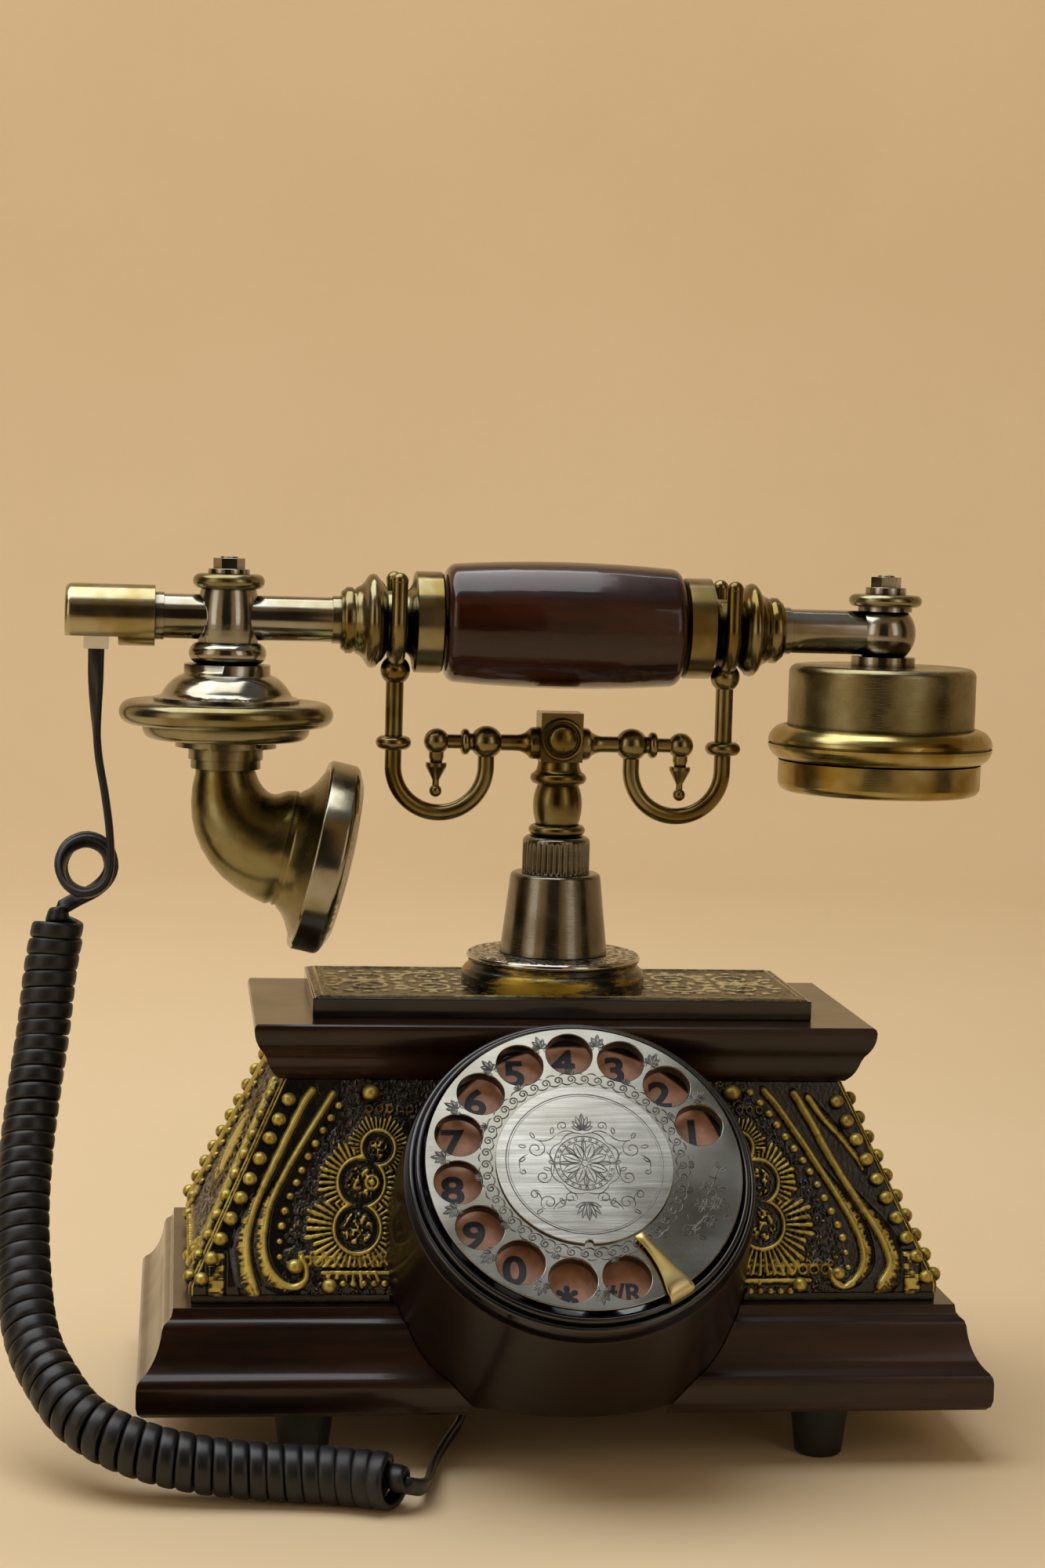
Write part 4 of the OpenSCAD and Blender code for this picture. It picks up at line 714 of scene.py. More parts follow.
def wheelEngraving():
    # scrolls round the inner border, leaves between the finger holes, and a spray of flowers by the stop
    made = []
    border = {"radius": 27.0, "count": 46, "coil": 1.35}
    for k in range(border["count"]):
        a = 360 / border["count"] * k
        x, y = around(border["radius"], a)
        made.append((scroll(x, y, border["coil"], 0.25, a + 180, 1.5, 15), 0.24))
        made.append((bow(around(25.6, a), around(26.3, a + 6.2), 0.6, 5), 0.24))
        made.append((bow(around(28.5, a + 1), around(28.5, a + 6.4), -0.5, 5), 0.2))
        if k % 4 == 0:
            for turn in (-28, 0, 28):
                made += [(line, 0.2) for line in leaf(around(28.4, a), a + turn, 1.9, 0.45)]
    for i in range(dial["holes"] - 1):
        a = dial["firstHole"] + dial["holeStep"] * (i + 0.5)
        root = around(38.0, a)
        for turn, long in ((-62, 2.4), (-30, 3.3), (0, 4.1), (30, 3.3), (62, 2.4)):
            made += [(line, 0.2) for line in leaf(root, a + turn, long, 0.55, True)]
        for turn in (-1, 1):
            made.append((scroll(*around(37.3, a + turn * 2.1), 0.75, 0.2, a + 180, turn * 1.2, 10), 0.16))
    spray = [bow((37.6, -0.5), (35.5, -9), -1.2), bow((35.5, -9), (30.5, -17), 1.0),
             bow((30.5, -17), (28.6, -22), -0.8), bow((35.3, -9.2), (38.6, -14.5), 1.0),
             bow((31.5, -15.5), (26.4, -18.5), 1.4), scroll(26.6, -20.3, 1.7, 0.4, 90, 1.1),
             scroll(37.7, -16.2, 1.5, 0.4, 60, -1.1), bow((36.8, -4), (33.5, -2.6), 0.8),
             bow((34.2, -12.2), (31.4, -10.6), 0.6)]
    for x, y, size in ((33.6, -7.4, 1.9), (35.6, -12.2, 1.7), (31.4, -12.6, 2.1), (33.2, -17.4, 1.6)):
        for a in range(0, 360, 60):
            dx, dy = around(0.45, a)
            spray += leaf((x + dx, y + dy), a, size, 0.42)
        spray.append(scroll(x, y, 0.45, 0.4, 0, 1, 8))
    for x, y, a in ((37.2, -1.2, 120), (36.9, -2.4, 30), (30.2, -19.0, 200), (29.0, -21.5, 330),
                    (35.6, -7.8, 10), (31.9, -16.2, 350), (28.3, -17.4, 120), (36.4, -9.8, 200)):
        spray += leaf((x, y), a, 2.6, 0.5)
    made += [(line, 0.19) for line in spray]
    strokes(made, 0, 0.7, "wheel-engraving")


def centreEngraving():
    # one half is drawn and repeated on the other side, round a rosette of leaves
    half = [scroll(10.6, -12.0, 2.5, 0.5, -60, 1.35), bow((9.6, -14.3), (3.2, -11.6), -1.6),
            scroll(4.6, -10.6, 1.9, 0.4, 200, -1.3), bow((8.4, -13.6), (6.0, -11.0), 0.9),
            scroll(14.2, -9.6, 1.5, 0.35, 150, -1.2), bow((12.6, -11.2), (14.9, -8.2), 0.6)]
    for turn, long in ((17, 5.2), (38, 4.6), (62, 3.6)):
        half += leaf((0.4, -11.9), -90 + turn, long, 0.42)
    for turn, long in ((18, 4.6), (40, 3.8), (64, 3.0)):
        half += leaf((0.2, 10.2), 90 - turn, long, 0.5)
    half += [scroll(13.2, 4.4, 2.9, 0.5, 90, 1.5), bow((13.2, 7.3), (7.4, 8.8), 1.1),
             bow((10.4, 3.6), (9.0, -3.4), -1.1), scroll(11.6, -4.2, 2.2, 0.4, 170, 1.4),
             bow((15.6, 2.6), (17.9, -1.6), 1.0), scroll(17.0, -2.6, 1.0, 0.3, 50, -1.1),
             bow((7.0, 9.0), (2.2, 9.4), -0.8), scroll(5.4, 11.6, 1.5, 0.35, -60, 1.3)]
    for x, y, a in ((13.4, 7.6, 60), (15.8, 5.0, 10), (10.0, 0.6, 200), (9.4, -2.2, 20), (8.6, 9.0, 100),
                    (16.2, 1.6, 330), (6.4, -12.6, 60), (12.4, -14.0, 320)):
        half += leaf((x, y), a, 2.2, 0.45)
    whole = half + [[(-x, y) for x, y in line] for line in half]
    for a in range(0, 360, 45):
        whole += leaf(around(1.2, a + 22.5), a + 22.5, 5.4, 1.2, True)
        whole += leaf(around(3.4, a), a, 3.9, 0.6, True)
        whole.append(bow(around(8.9, a), around(8.9, a + 45), -1.7, 9))
    for a in range(0, 360, 15):
        x, y = around(7.6, a)
        whole.append(scroll(x, y, 0.42, 0.3, a, 1, 8))
    whole += [scroll(0, 0, r, r - 0.05, 0, 1, count) for r, count in ((1.0, 16), (6.9, 60), (8.3, 60))]
    whole += leaf((0, -11.6), -90, 6.0, 0.6, True) + leaf((0, 10.2), 90, 5.4, 0.6, True)
    made = [(line, 0.16) for line in whole]
    made += [(scroll(0, 0, 21.6, 21.6, 0, 1, 120), 0.16), (scroll(0, 0, 21.0, 21.0, 0, 1, 120), 0.08)]
    strokes(made, dial["centreTop"], 0.6, "centre-engraving")


def flutedCollar():
    # the knurled sleeve under the post, with round-backed flutes that stop short of its ends
    flutes = {"count": 34, "deep": 0.75, "perFlute": 8, "runOut": 0.8, "plainTop": 1.6, "round": 0.6}
    low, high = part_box("knurled_collar")
    radius, tall = (high.x - low.x) / 2 / mm, (high.z - low.z) / mm
    place = Matrix.Translation(((low.x + high.x) / 2, (low.y + high.y) / 2, low.z))
    levels = [0, 0.3, 0.8, 1.4, 3, 6, tall - 2.6, tall - 1.9, tall - 1.5]
    top = [(radius - 0.25, tall - 0.8), (radius - 0.9, tall - 0.2), (radius - 1.6, tall), (0.1, tall)]
    profile = [(0.1, 0)] + [(radius, z) for z in levels] + top
    collar = turnedPart(profile, place, "knurled-collar", bodyOf["knurled_collar"],
                        slotOf["knurled_collar"], flutes["count"] * flutes["perFlute"], 40)
    for v in collar.data.vertices:
        spot = place.inverted() @ v.co / mm
        r, a = math.hypot(spot.x, spot.y), math.atan2(spot.y, spot.x)
        if r > radius - 0.1:
            inside = min(spot.z, tall - flutes["plainTop"] - spot.z) / flutes["runOut"]
            depth = flutes["deep"] * min(1, max(0, inside))
            cut = depth * (1 - abs(math.sin(a * flutes["count"] / 2)) ** flutes["round"]) / r
            v.co.x -= spot.x * cut * mm
            v.co.y -= spot.y * cut * mm
    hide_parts("knurled_collar")


flutedCollar()
bezelRidges()
fingerWells()
fingerStop()
digits()
wheelEngraving()
centreEngraving()
print("dial made")


# relief of the cast body, panel by panel: front, right, back, left
cast = {"slopeW": 25.5, "slopeD": 20.0, "step": 5.0, "ledge": 2.1, "bigBead": 2.1, "smallBead": 1.25,
        "stand": 0.2, "frontFrom": 36, "cells": ((240, 160), (200, 112), (380, 112), (200, 112))}
shellLow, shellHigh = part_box("body_shell")
halfW, halfD = (shellHigh.x - shellLow.x) / 2 / mm, (shellHigh.y - shellLow.y) / 2 / mm
bendZ, topZ = shellLow.z / mm + cast["step"], shellHigh.z / mm
footZ = shellLow.z / mm + cast["ledge"]
drum = {"flare": 0.1, "rim": 47.9, "overlap": 1.2}
intoDial = dialFrame.inverted()


def underDrum(point, spare=0):
    # whether a point of the body is hidden in the drum
    p = intoDial @ point / mm
    return math.hypot(p.x, p.y) < drum["rim"] - drum["flare"] * p.z - spare


def panelSizes(side):
    if side % 2 == 0:
        return halfW, cast["slopeW"], halfD, cast["slopeD"]
    return halfD, cast["slopeD"], halfW, cast["slopeW"]


def upSlope(z):
    return np.maximum(0, (z - bendZ) / (topZ - bendZ))


def panelEdge(side, z):
    wide, slope, _, _ = panelSizes(side)
    return wide - slope * upSlope(z)


def panelPlace(side, u, z, h):
    # a point of a panel, u across it and h proud of it, turned to its side of the body
    _, _, deep, slope = panelSizes(side)
    lean = np.where(z > bendZ, math.atan2(slope, topZ - bendZ), 0)
    y = -(deep - slope * upSlope(z)) - h * np.cos(lean)
    z = z + h * np.sin(lean)
    turn = math.radians(90 * side)
    return np.stack([u * math.cos(turn) - y * math.sin(turn), u * math.sin(turn) + y * math.cos(turn), z], -1)


def grain(u, z, size, seed):
    # smooth noise between 0 and 1 over a panel
    wide = 256
    dots = np.random.default_rng(seed).random((wide, wide))
    x, y = u / size + 97.3, z / size + 41.7
    i, j = np.floor(x).astype(int), np.floor(y).astype(int)
    fx, fy = x - i, y - j
    fx, fy = fx * fx * (3 - 2 * fx), fy * fy * (3 - 2 * fy)
    i, j, nextI, nextJ = i % wide, j % wide, (i + 1) % wide, (j + 1) % wide
    a, b, c, d = dots[i, j], dots[nextI, j], dots[i, nextJ], dots[nextI, nextJ]
    return (a * (1 - fx) + b * fx) * (1 - fy) + (c * (1 - fx) + d * fx) * fy


def ramp(value, low, high):
    return np.clip((value - low) / (high - low), 0, 1)


def nearRoute(u, z, route):
    # distance to a route, how far along it, which side of it, and its length
    step = 1.2
    line = [(p.x, p.y) for p in evenly([(a, b, 0) for a, b in route], step)]
    best, along, way = np.full(u.shape, 1e9), np.zeros(u.shape), np.zeros(u.shape)
    for k in range(len(line) - 1):
        (ax, ay), (bx, by) = line[k], line[k + 1]
        dx, dy = bx - ax, by - ay
        t = np.clip(((u - ax) * dx + (z - ay) * dy) / (dx * dx + dy * dy), 0, 1)
        d = np.hypot(u - ax - dx * t, z - ay - dy * t)
        near = d < best
        best = np.where(near, d, best)
        along = np.where(near, (k + t) / (len(line) - 1), along)
        way = np.where(near, dx * (z - ay) - dy * (u - ax), way)
    return best, along, way, len(line) * step


def rib(u, z, route, wide, tall, wing=None):
    # a rounded rib along a route; a wing is a brushed slope on its outer side
    best, along, way, long = nearRoute(u, z, route)
    reach = wide[0] + (wide[1] - wide[0]) * along
    h = tall * np.clip(1 - (best / reach) ** 2, 0, 1) ** 0.7
    dry = np.zeros(u.shape)
    if wing:
        spread, start, full, fade = wing
        width = reach + spread * ramp(along, start, full) * (1 - ramp(along, fade, fade + 0.12))
        strand = grain(along * long, best * 0.3, 0.42, 7)
        slope = np.where(way > 0, tall * 0.9 * np.clip(1 - best / width, 0, 1) ** 0.6, 0)
        slope = slope * (0.82 + 0.18 * strand)
        dry = np.where((slope > h) & (way > 0), ramp(best / width + strand * 0.9, 0.75, 1.2), 0)
        h = np.maximum(h, slope)
    return h, dry


def ringRidge(u, z, x, y, radius, wide, tall):
    # a rounded ring round (x, y)
    return tall * np.sqrt(np.clip(1 - ((np.hypot(u - x, z - y) - radius) / wide) ** 2, 0, 1))


def sunburst(u, z, lobes, step, tall):
    # joined round hollows with a raised rim, stippled inside, and rays all round
    away = np.stack([np.hypot(u - x, z - y) - r for x, y, r, long in lobes])
    pick = away.argmin(0)
    out = away.min(0)
    turn = np.choose(pick, [np.arctan2(z - y, u - x) for x, y, r, long in lobes])
    long = np.choose(pick, [np.full(u.shape, long) for x, y, r, long in lobes])
    long = long * (0.8 + 0.35 * grain(turn * 4, turn * 0, 0.5, 5))
    ray = np.abs(np.cos(turn * math.pi / step)) * np.clip(out - 0.4, 0, 1) * np.clip((long - out) / 1.2, 0, 1)
    rough = grain(u, z, 0.62, 21)
    inside = np.where(out < 0, 0.12 + 1.5 * ramp(rough, 0.42, 0.75) * ramp(-out, 1.3, 2.4), 0)
    rim = 1.5 * np.sqrt(np.clip(1 - ((out - 0.45) / 0.6) ** 2, 0, 1))
    outside = tall * ray * (0.75 + 0.25 * rough)
    return np.where(out < 0, np.maximum(inside, rim), np.maximum(rim, outside)), out, long


leftHalf = {
    "outer": [(72.2, 100.4), (74.2, 97.9), (76.5, 93.6), (79.7, 87.4), (82.8, 81.2), (86.2, 74.3),
              (88.6, 68.5), (89.9, 63.4), (90.2, 58.2), (89.2, 52.5), (87.4, 47.4)],
    "inner": [(66.4, 99.6), (70.0, 94.0), (73.5, 88.7), (77.6, 82.2), (81.0, 76.3), (84.1, 69.8),
              (85.3, 63.4), (85.4, 58.2), (83.6, 53.1), (80.1, 49.8), (76.7, 49.0), (74.0, 50.6),
              (73.7, 53.7), (75.2, 56.3)],
    "chain": [(64.7, 96.3), (68.8, 90.2), (72.9, 83.5), (76.3, 76.3), (79.6, 69.0), (81.1, 61.3),
              (81.1, 56.6)],
    "lobes": [(58.4, 76.0, 6.2, 6.6), (59.5, 64.0, 6.1, 9.2), (53.6, 85.1, 4.3, 5.2)],
    "balls": [(76.9, 54.0, 2.3), (67.3, 49.2, 2.2), (55.7, 99.6, 2.6)], "rosette": (55.4, 76.0), "burrUp": 58}
rightHalf = {
    "outer": [(66.5, 100.0), (69.1, 95.7), (71.8, 91.0), (75.8, 83.7), (79.9, 77.0), (85.3, 69.0),
              (89.3, 63.1), (91.9, 57.1), (92.1, 53.2), (88.9, 48.6)],
    "inner": [(57.6, 100.9), (61.1, 97.0), (64.9, 91.7), (68.7, 86.3), (72.7, 80.3), (77.5, 73.0),
              (81.5, 66.4), (84.1, 60.4), (84.6, 55.2), (82.4, 50.8), (78.9, 48.6), (75.4, 50.4),
              (75.0, 52.6)],
    "chain": [(53.6, 100.4), (58.5, 95.2), (63.3, 88.5), (68.1, 82.2), (72.2, 75.5), (76.2, 68.0),
              (79.1, 61.0), (80.3, 53.4)],
    "lobes": [(54.8, 76.2, 5.6, 6.4), (55.6, 64.8, 6.0, 9.6), (49.4, 85.3, 4.0, 5.2)],
    "balls": [(77.2, 51.8, 2.0), (66.0, 49.2, 2.2), (48.2, 100.0, 2.6)], "rosette": None, "burrUp": 55.6,
    "spare": [(70.6, 99.0), (74.8, 93.1), (79.3, 88.2), (83.4, 83.0), (85.6, 79.4)]}
narrowRibs = [
    ([(26.5, 100.5), (31, 89), (35.5, 78), (39.5, 68), (43, 59), (46.5, 51)], (1.1, 1.5), 1.4),
    ([(21, 100.5), (25.5, 90), (30, 79), (34, 69), (37, 61), (37.6, 55.2), (34.7, 50.6), (30.8, 50.9),
      (29.4, 54.2), (31.5, 56.4)], (1.3, 1.2), 1.8),
    ([(25.5, 52.4), (14, 52.4), (0, 52.4)], (0.8, 0.8), 1.1)]
# name, width at each end, height, and the wing's width, start, full growth and fade
ribStyles = (("outer", (1.35, 1.15), 2.1, (3.4, 0.5, 0.8, 1.2)),
             ("inner", (1.15, 1.0), 2.0, (2.6, 0.36, 0.6, 0.78)),
             ("spare", (1.2, 0.3), 1.6, (1.4, 0.0, 0.3, 1.2)))


def longRelief(u, z, half, rough):
    # height and dry brushing of half a front or back panel
    dry = np.zeros(u.shape)
    inward = ramp(np.interp(-z, [-y for x, y in half["chain"]], [x for x, y in half["chain"]]) - u, 0, 2.5)
    h = 0.7 * ramp(rough, 0.5, 0.8) * inward
    burst, out, long = sunburst(u, z, half["lobes"], 0.165, 1.35)
    h = np.where(out < long, burst, h)
    row = half["burrUp"]
    ringRows = ((8, 50.5, 3.3, row - 2.6, 1.2, 0.5, 1.0), (8, 52.1, 3.3, row - 0.9, 0.7, 0.45, 0.9),
                (5, 44.5, 2.9, 95.6, 0.9, 0.5, 0.8))
    for count, across, step, up, radius, wide, tall in ringRows:
        for k in range(count):
            h = np.maximum(h, ringRidge(u, z, across + step * k, up, radius, wide, tall))
    h = np.where(np.abs(z - row + 4.7) < 0.3, 0.1, h)
    bar, _ = rib(u, z, [(69.2, row - 5.5), (42, row - 5.6)], (0.85, 0.85), 1.15)
    h = np.maximum(h, bar)
    for name, wide, tall, wing in ribStyles:
        if name in half:
            made, brushed = rib(u, z, half[name], wide, tall, wing)
            dry = np.where(made > h, brushed, dry)
            h = np.maximum(h, made)
    foot = {"from": 95.6, "middle": 98.6, "to": 101.6, "top": 58.2, "tall": 1.3}
    sides = ramp(u, foot["from"], foot["from"] + 1.2) * ramp(foot["to"] - u, 0, 1.2)
    patch = sides * ramp(foot["top"] - z, 0, 1.0)
    strand = grain(z, u * 0.2, 0.4, 11)
    brushed = ramp(strand + np.abs(u - foot["middle"]) * 0.16, 0.55, 0.95)
    dry = np.where(patch * foot["tall"] > h, brushed, dry)
    h = np.maximum(h, patch * foot["tall"])
    if half["rosette"]:
        x, y = half["rosette"]
        for radius, wide in ((1.7, 0.55), (0.4, 0.6)):
            h = np.maximum(h, ringRidge(u, z, x, y, radius, wide, 1.9))
    return h, dry


def endRelief(u, z, rough):
    # height of an end panel, with its sun and ribs
    sun = {"up": 77, "radius": 9.3, "rays": 6.5, "dome": 8.2}
    h = 0.5 * ramp(rough, 0.5, 0.85) * ramp(30 - u, 0, 4)
    burst, out, long = sunburst(u, z, [(0, sun["up"], sun["radius"], sun["rays"])], 0.2, 1.0)
    h = np.where(out < long, burst, h)
    away = np.hypot(u, z - sun["up"])
    dome = 0.6 + 1.2 * np.sqrt(np.clip(1 - (away / sun["dome"]) ** 2, 0, 1))
    h = np.where(away < sun["dome"], dome, h)
    for route, wide, tall in narrowRibs:
        h = np.maximum(h, rib(u, z, route, wide, tall)[0])
    return h


def reliefHeight(side, x, z):
    # height over a whole panel, and how gilt it is
    u = np.abs(x)
    edge = panelEdge(side, z)
    rough = grain(x, z, 1.05, 3 + side) * 0.45 + grain(x, z, 0.55, 9 + side) * 0.55
    if side % 2 == 0:
        left, dryLeft = longRelief(u, z, leftHalf, rough)
        right, dryRight = longRelief(u, z, rightHalf if side == 0 else leftHalf, rough)
        h, dry = np.where(x < 0, left, right), np.where(x < 0, dryLeft, dryRight)
    else:
        h, dry = endRelief(u, z, rough), np.zeros(u.shape)
    h = h + cast["stand"] + 0.06 * rough
    seam = ramp(np.abs(edge - u - 0.42), 0.34, 0.16)
    h = np.maximum(h, 0.62 * seam)
    gilt = ramp(h, 0.62, 1.35) * (1 - dry) * (0.8 + 0.35 * rough) + seam
    fall = ramp(np.minimum(np.minimum(edge - u, topZ - z), z - footZ), 0, 0.24)
    return h * fall - 0.2 * (1 - fall), np.clip(gilt, 0, 1)


def bead(bm, layer, side, u, z, radius, sink, fine):
    # a round bead on a panel, gilt where it stands out, and more gilt on its upper side as a painted highlight
    # from above, leaving the underside as painted shade
    cells = (18, 12) if fine else (12, 8)
    made = bmesh.ops.create_uvsphere(bm, u_segments=cells[0], v_segments=cells[1], radius=1)["verts"]
    centre = panelPlace(side, np.array(u), np.array(z), np.array(radius * sink))
    out = panelPlace(side, np.array(u), np.array(z), np.array(radius * sink + 1.0)) - centre
    for v in made:
        show = v.co.x * out[0] + v.co.y * out[1] + v.co.z * out[2]
        # painted light: up-facing points get more gilt and the underside stays dark, added to the gilding on the
        # outward side
        v[layer] = max(0.0, min(0.85, (show * 0.7 + v.co.z * 0.5 + 0.3) * 1.1))
        v.co = atStem(centre + np.array(v.co) * radius)


def panelGrid(side, ways=(0,), start=None):
    # a panel's relief in one grid, or in one on each side of the drum
    cells = cast["cells"][side]
    bm = bmesh.new()
    layer = bm.verts.layers.float.new("gilt")
    for way in ways:
        mine = bmesh.ops.create_grid(bm, x_segments=cells[0], y_segments=cells[1], size=1)["verts"]
        co = np.array([v.co for v in mine])
        z = footZ + (co[:, 1] + 1) / 2 * (topZ - footZ)
        edge = panelEdge(side, z)
        share = (co[:, 0] + 1) / 2
        if way > 0:
            u = start + share * (edge - start)
        elif way < 0:
            u = -edge + share * (edge - start)
        else:
            u = co[:, 0] * edge
        h, gilt = reliefHeight(side, u, z)
        for v, spot, shine in zip(mine, panelPlace(side, u, z, h), gilt):
            v.co = atStem(spot)
            v[layer] = float(shine)
        if side == 0:
            hidden = [v for v in mine if underDrum(v.co, drum["overlap"])]
            bmesh.ops.delete(bm, geom=hidden, context="VERTS")
    name = ("front", "right", "back", "left")[side] + "-relief"
    pieceFrom(bm, name, "base", "antique_gilt", 80)


def spaced(route, count):
    # so many spots along a route, evenly apart
    points = evenly([(a, b, 0) for a, b in route], 0.4)
    picks = [points[round(i * (len(points) - 1) / (count - 1))] for i in range(count)]
    return [(p.x, p.y) for p in picks]


def panelBeads():
    # spots are (across, up, radius, share sunk, fine)
    bm = bmesh.new()
    layer = bm.verts.layers.float.new("gilt")
    for side in range(4):
        for way in (-1, 1):
            ends = [(panelEdge(side, up) - inset, up) for up, inset in ((97.8, 3.9), (50.8, 2.1))]
            spots = [(x, y, cast["bigBead"], 0.45, True) for x, y in spaced(ends, 10)]
            if side % 2 == 0:
                half = rightHalf if side == 0 and way > 0 else leftHalf
                count = 15 if half is rightHalf else 12
                for k, (x, y) in enumerate(spaced(half["chain"], count)):
                    spots.append((x, y, cast["smallBead"] * (0.72 if k > count - 3 else 1), 0.45, False))
                spots += [(x, y, r, 0.4, True) for x, y, r in half["balls"]]
                spots += [(63.5 - 2.9 * k, half["burrUp"] - 8.4, 1.1, 0.35, False) for k in range(8)]
            else:
                chain = [(16.5, 99), (20.8, 89.5), (25, 79.5), (28.8, 70), (31, 62.5), (31.4, 58.4)]
                spots += [(x, y, cast["smallBead"], 0.4, False) for x, y in spaced(chain, 11)]
                spots += [(32.4, 53.4, 2.2, 0.4, True), (24.6, 50.0, 2.0, 0.35, True)]
                spots += [(20.5 - 3.15 * k, 50.2, 1.2, 0.3, False) for k in range(7)]
            for u, z, radius, sink, fine in spots:
                root = atStem(panelPlace(side, np.array(way * u), np.array(z), np.array(0.0)))
                if side or not underDrum(root):
                    bead(bm, layer, side, way * u, z, radius, sink, fine)
    pieceFrom(bm, "body-beads", "base", "antique_gilt", 80)


panelGrid(0, (-1, 1), cast["frontFrom"])
for side in (1, 2, 3):
    panelGrid(side)
panelBeads()
print("body relief cast")


def deckTop():
    # the deck's ornamental top: two pairs of coils on each side, with rays, inside a double border
    deck = {"cells": (250, 100), "border": 2.2, "margin": 0.5, "sink": 0.2, "coilPoints": 22, "shrink": 26,
            "turn": 24, "coils": ((37, 9, 7.5, 1), (37, -9, 7.5, -1), (56, 8, 8.5, -1), (56, -8, 8.5, 1))}
    low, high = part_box("deck_plate")
    wide, deep = (high.x - low.x) / 2 / mm - deck["margin"], (high.y - low.y) / 2 / mm - deck["margin"]
    bm = bmesh.new()
    layer = bm.verts.layers.float.new("gilt")
    bmesh.ops.create_grid(bm, x_segments=deck["cells"][0], y_segments=deck["cells"][1], size=1)
    co = np.array([v.co for v in bm.verts])
    x, y = co[:, 0] * wide, co[:, 1] * deep
    u = np.abs(x)
    rough = grain(x, y, 1.2, 31) * 0.5 + grain(x, y, 0.65, 37) * 0.5
    h = 0.12 + 0.55 * np.clip(rough - 0.35, 0, 1)
    for cx, cy, r, way in deck["coils"]:
        steps = [around(r * (1 - k / deck["shrink"]), way * k * deck["turn"])
                 for k in range(deck["coilPoints"])]
        h = np.maximum(h, rib(u, y, [(cx + dx, cy + dy) for dx, dy in steps], (1.0, 0.7), 0.7)[0])
        ring = ramp(np.abs(np.hypot(u - cx, y - cy) - r - 2), 1.8, 1)
        h = np.maximum(h, 0.6 * np.abs(np.cos(np.arctan2(y - cy, u - cx) * 6)) * ring)
    near = np.minimum(wide - u, deep - np.abs(y))
    for inset, tall, spread in ((0, 0.75, 0.9), (2.2, 0.6, 0.5)):
        h = np.maximum(h, tall * np.clip(1 - np.abs(near - deck["border"] - inset) / spread, 0, 1))
    fall = np.clip(near / 0.6, 0, 1)
    h = h * fall - deck["sink"] * (1 - fall)
    gilt = ramp(h, 0.16, 0.5)
    for v, vx, vy, vh, shine in zip(bm.verts, x, y, h, gilt):
        v.co = ((low.x + high.x) / 2 + vx * mm, (low.y + high.y) / 2 + vy * mm, high.z + vh * mm)
        v[layer] = float(shine)
    pieceFrom(bm, "deck-relief", "base", "antique_gilt", 80, "deckGilt")


deckTop()
print("deck made")

# inner parts keep the frame's shape and take their finishes
for node, shown in frame["nodes"].items():
    if not shown.hide_render:
        for seat in shown.material_slots:
            seat.material = finishOf(slotOf[node])


# studio: a pale bowl for floor and backdrop, a soft box overhead and soft sides
studio = {"floor": 1.3, "wall": 1.9, "tall": 2.6, "pale": (225, 203, 164), "paler": (228, 206, 168),
          "room": 0.16, "roomTint": (0.95, 0.95, 0.93, 1)}


def paleBowl():
    shader, where = newFinish("backdrop")
    shade = noise(where, 3, 3).rise(0.3, 0.7).blend(studio["pale"], studio["paler"])
    dress(shader, Base_Color=shade, Roughness=0.75)
    bm = bmesh.new()
    curve = studio["wall"] - studio["floor"]
    profile = [(0, 0), (studio["floor"] * 0.5, 0), (studio["floor"], 0)]
    for a in range(10, 91, 10):
        down, out = around(curve, a)
        profile.append((studio["floor"] + out, curve - down))
    spun(bm, profile + [(studio["wall"], studio["tall"])], 96, 1)
    bmesh.ops.remove_doubles(bm, verts=bm.verts, dist=1e-5)
    bmesh.ops.recalc_face_normals(bm, faces=bm.faces)
    bmesh.ops.reverse_faces(bm, faces=bm.faces)
    thingFrom(bm, "backdrop", finishes["backdrop"])


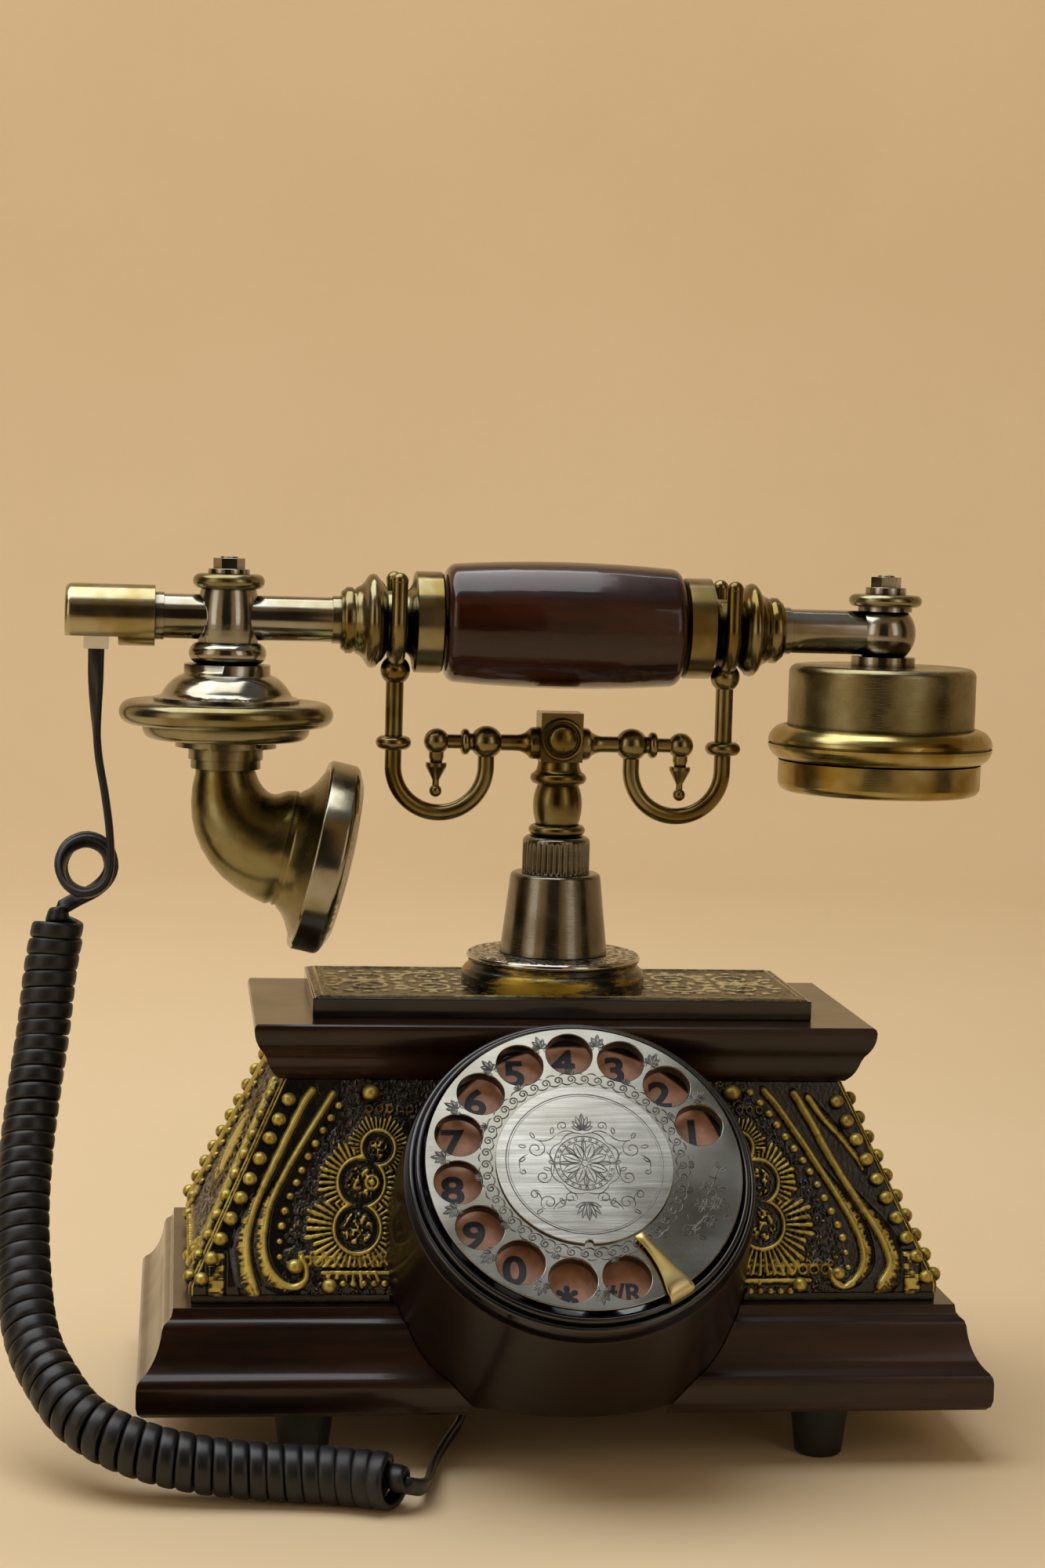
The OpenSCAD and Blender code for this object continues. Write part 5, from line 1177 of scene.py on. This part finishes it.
# soft boxes: place, the spot they face, width and depth, watts, tint
lights = {
    "overhead": ((-0.55, 0.09, 1.35), (-0.55, 0.09, 0), (1.57, 1.17), 17.4, (0.97, 0.985, 1)),
    "leftPanel": ((-1.02, -0.62, 0.55), (0, 0, 0.12), (0.42, 0.9), 1.2, (1, 1, 1)),
    "rightPanel": ((0.62, -0.98, 0.55), (0, 0, 0.12), (0.36, 0.9), 0.9, (1, 1, 1)),
    "wallWash": ((0.1, 0.75, 1.75), (0.1, 1.9, 1.0), (1.6, 0.3), 9, (1, 0.96, 0.9))}


def softLights():
    for name, (place, aim, size, watts, tint) in lights.items():
        data = bpy.data.lights.new(name, "AREA")
        data.shape = "RECTANGLE"
        data.size, data.size_y = size
        data.energy, data.color = watts, tint
        lamp = bpy.data.objects.new(name, data)
        lamp.location = place
        lamp.rotation_euler = (Vector(aim) - Vector(place)).to_track_quat("-Z", "Y").to_euler()
        scene.collection.objects.link(lamp)


def darkFlags():
    # dark cards on the camera's side, seen only in polished surfaces, which draw dark bands down them
    flags = {"radius": 1.2, "low": 0.02, "high": 1.2, "cards": [(-205, -170), (-119, -84), (-34, -12)]}
    shader, where = newFinish("flag")
    shade = noise(where, 2, 2).rise(0.3, 0.7).blend((22, 21, 20), (36, 34, 32))
    dress(shader, Base_Color=shade, Roughness=0.9)
    bm = bmesh.new()
    for start, end in flags["cards"]:
        pair = [bm.verts.new((*around(flags["radius"], start), z)) for z in (flags["low"], flags["high"])]
        bmesh.ops.spin(bm, geom=pair + [bm.edges.new(pair)], cent=(0, 0, 0), axis=(0, 0, 1), steps=8,
                       angle=math.radians(end - start))
    card = thingFrom(bm, "flags", finishes["flag"])
    card.visible_camera = card.visible_shadow = card.visible_diffuse = False


def roomLight():
    world = bpy.data.worlds.new("room")
    world.use_nodes = True
    shade = next(node for node in world.node_tree.nodes if node.type == "BACKGROUND")
    shade.inputs["Color"].default_value = studio["roomTint"]
    shade.inputs["Strength"].default_value = studio["room"]
    scene.world = world


paleBowl()
darkFlags()
roomLight()
softLights()
scene.view_settings.view_transform = "Standard"
print("studio lit")
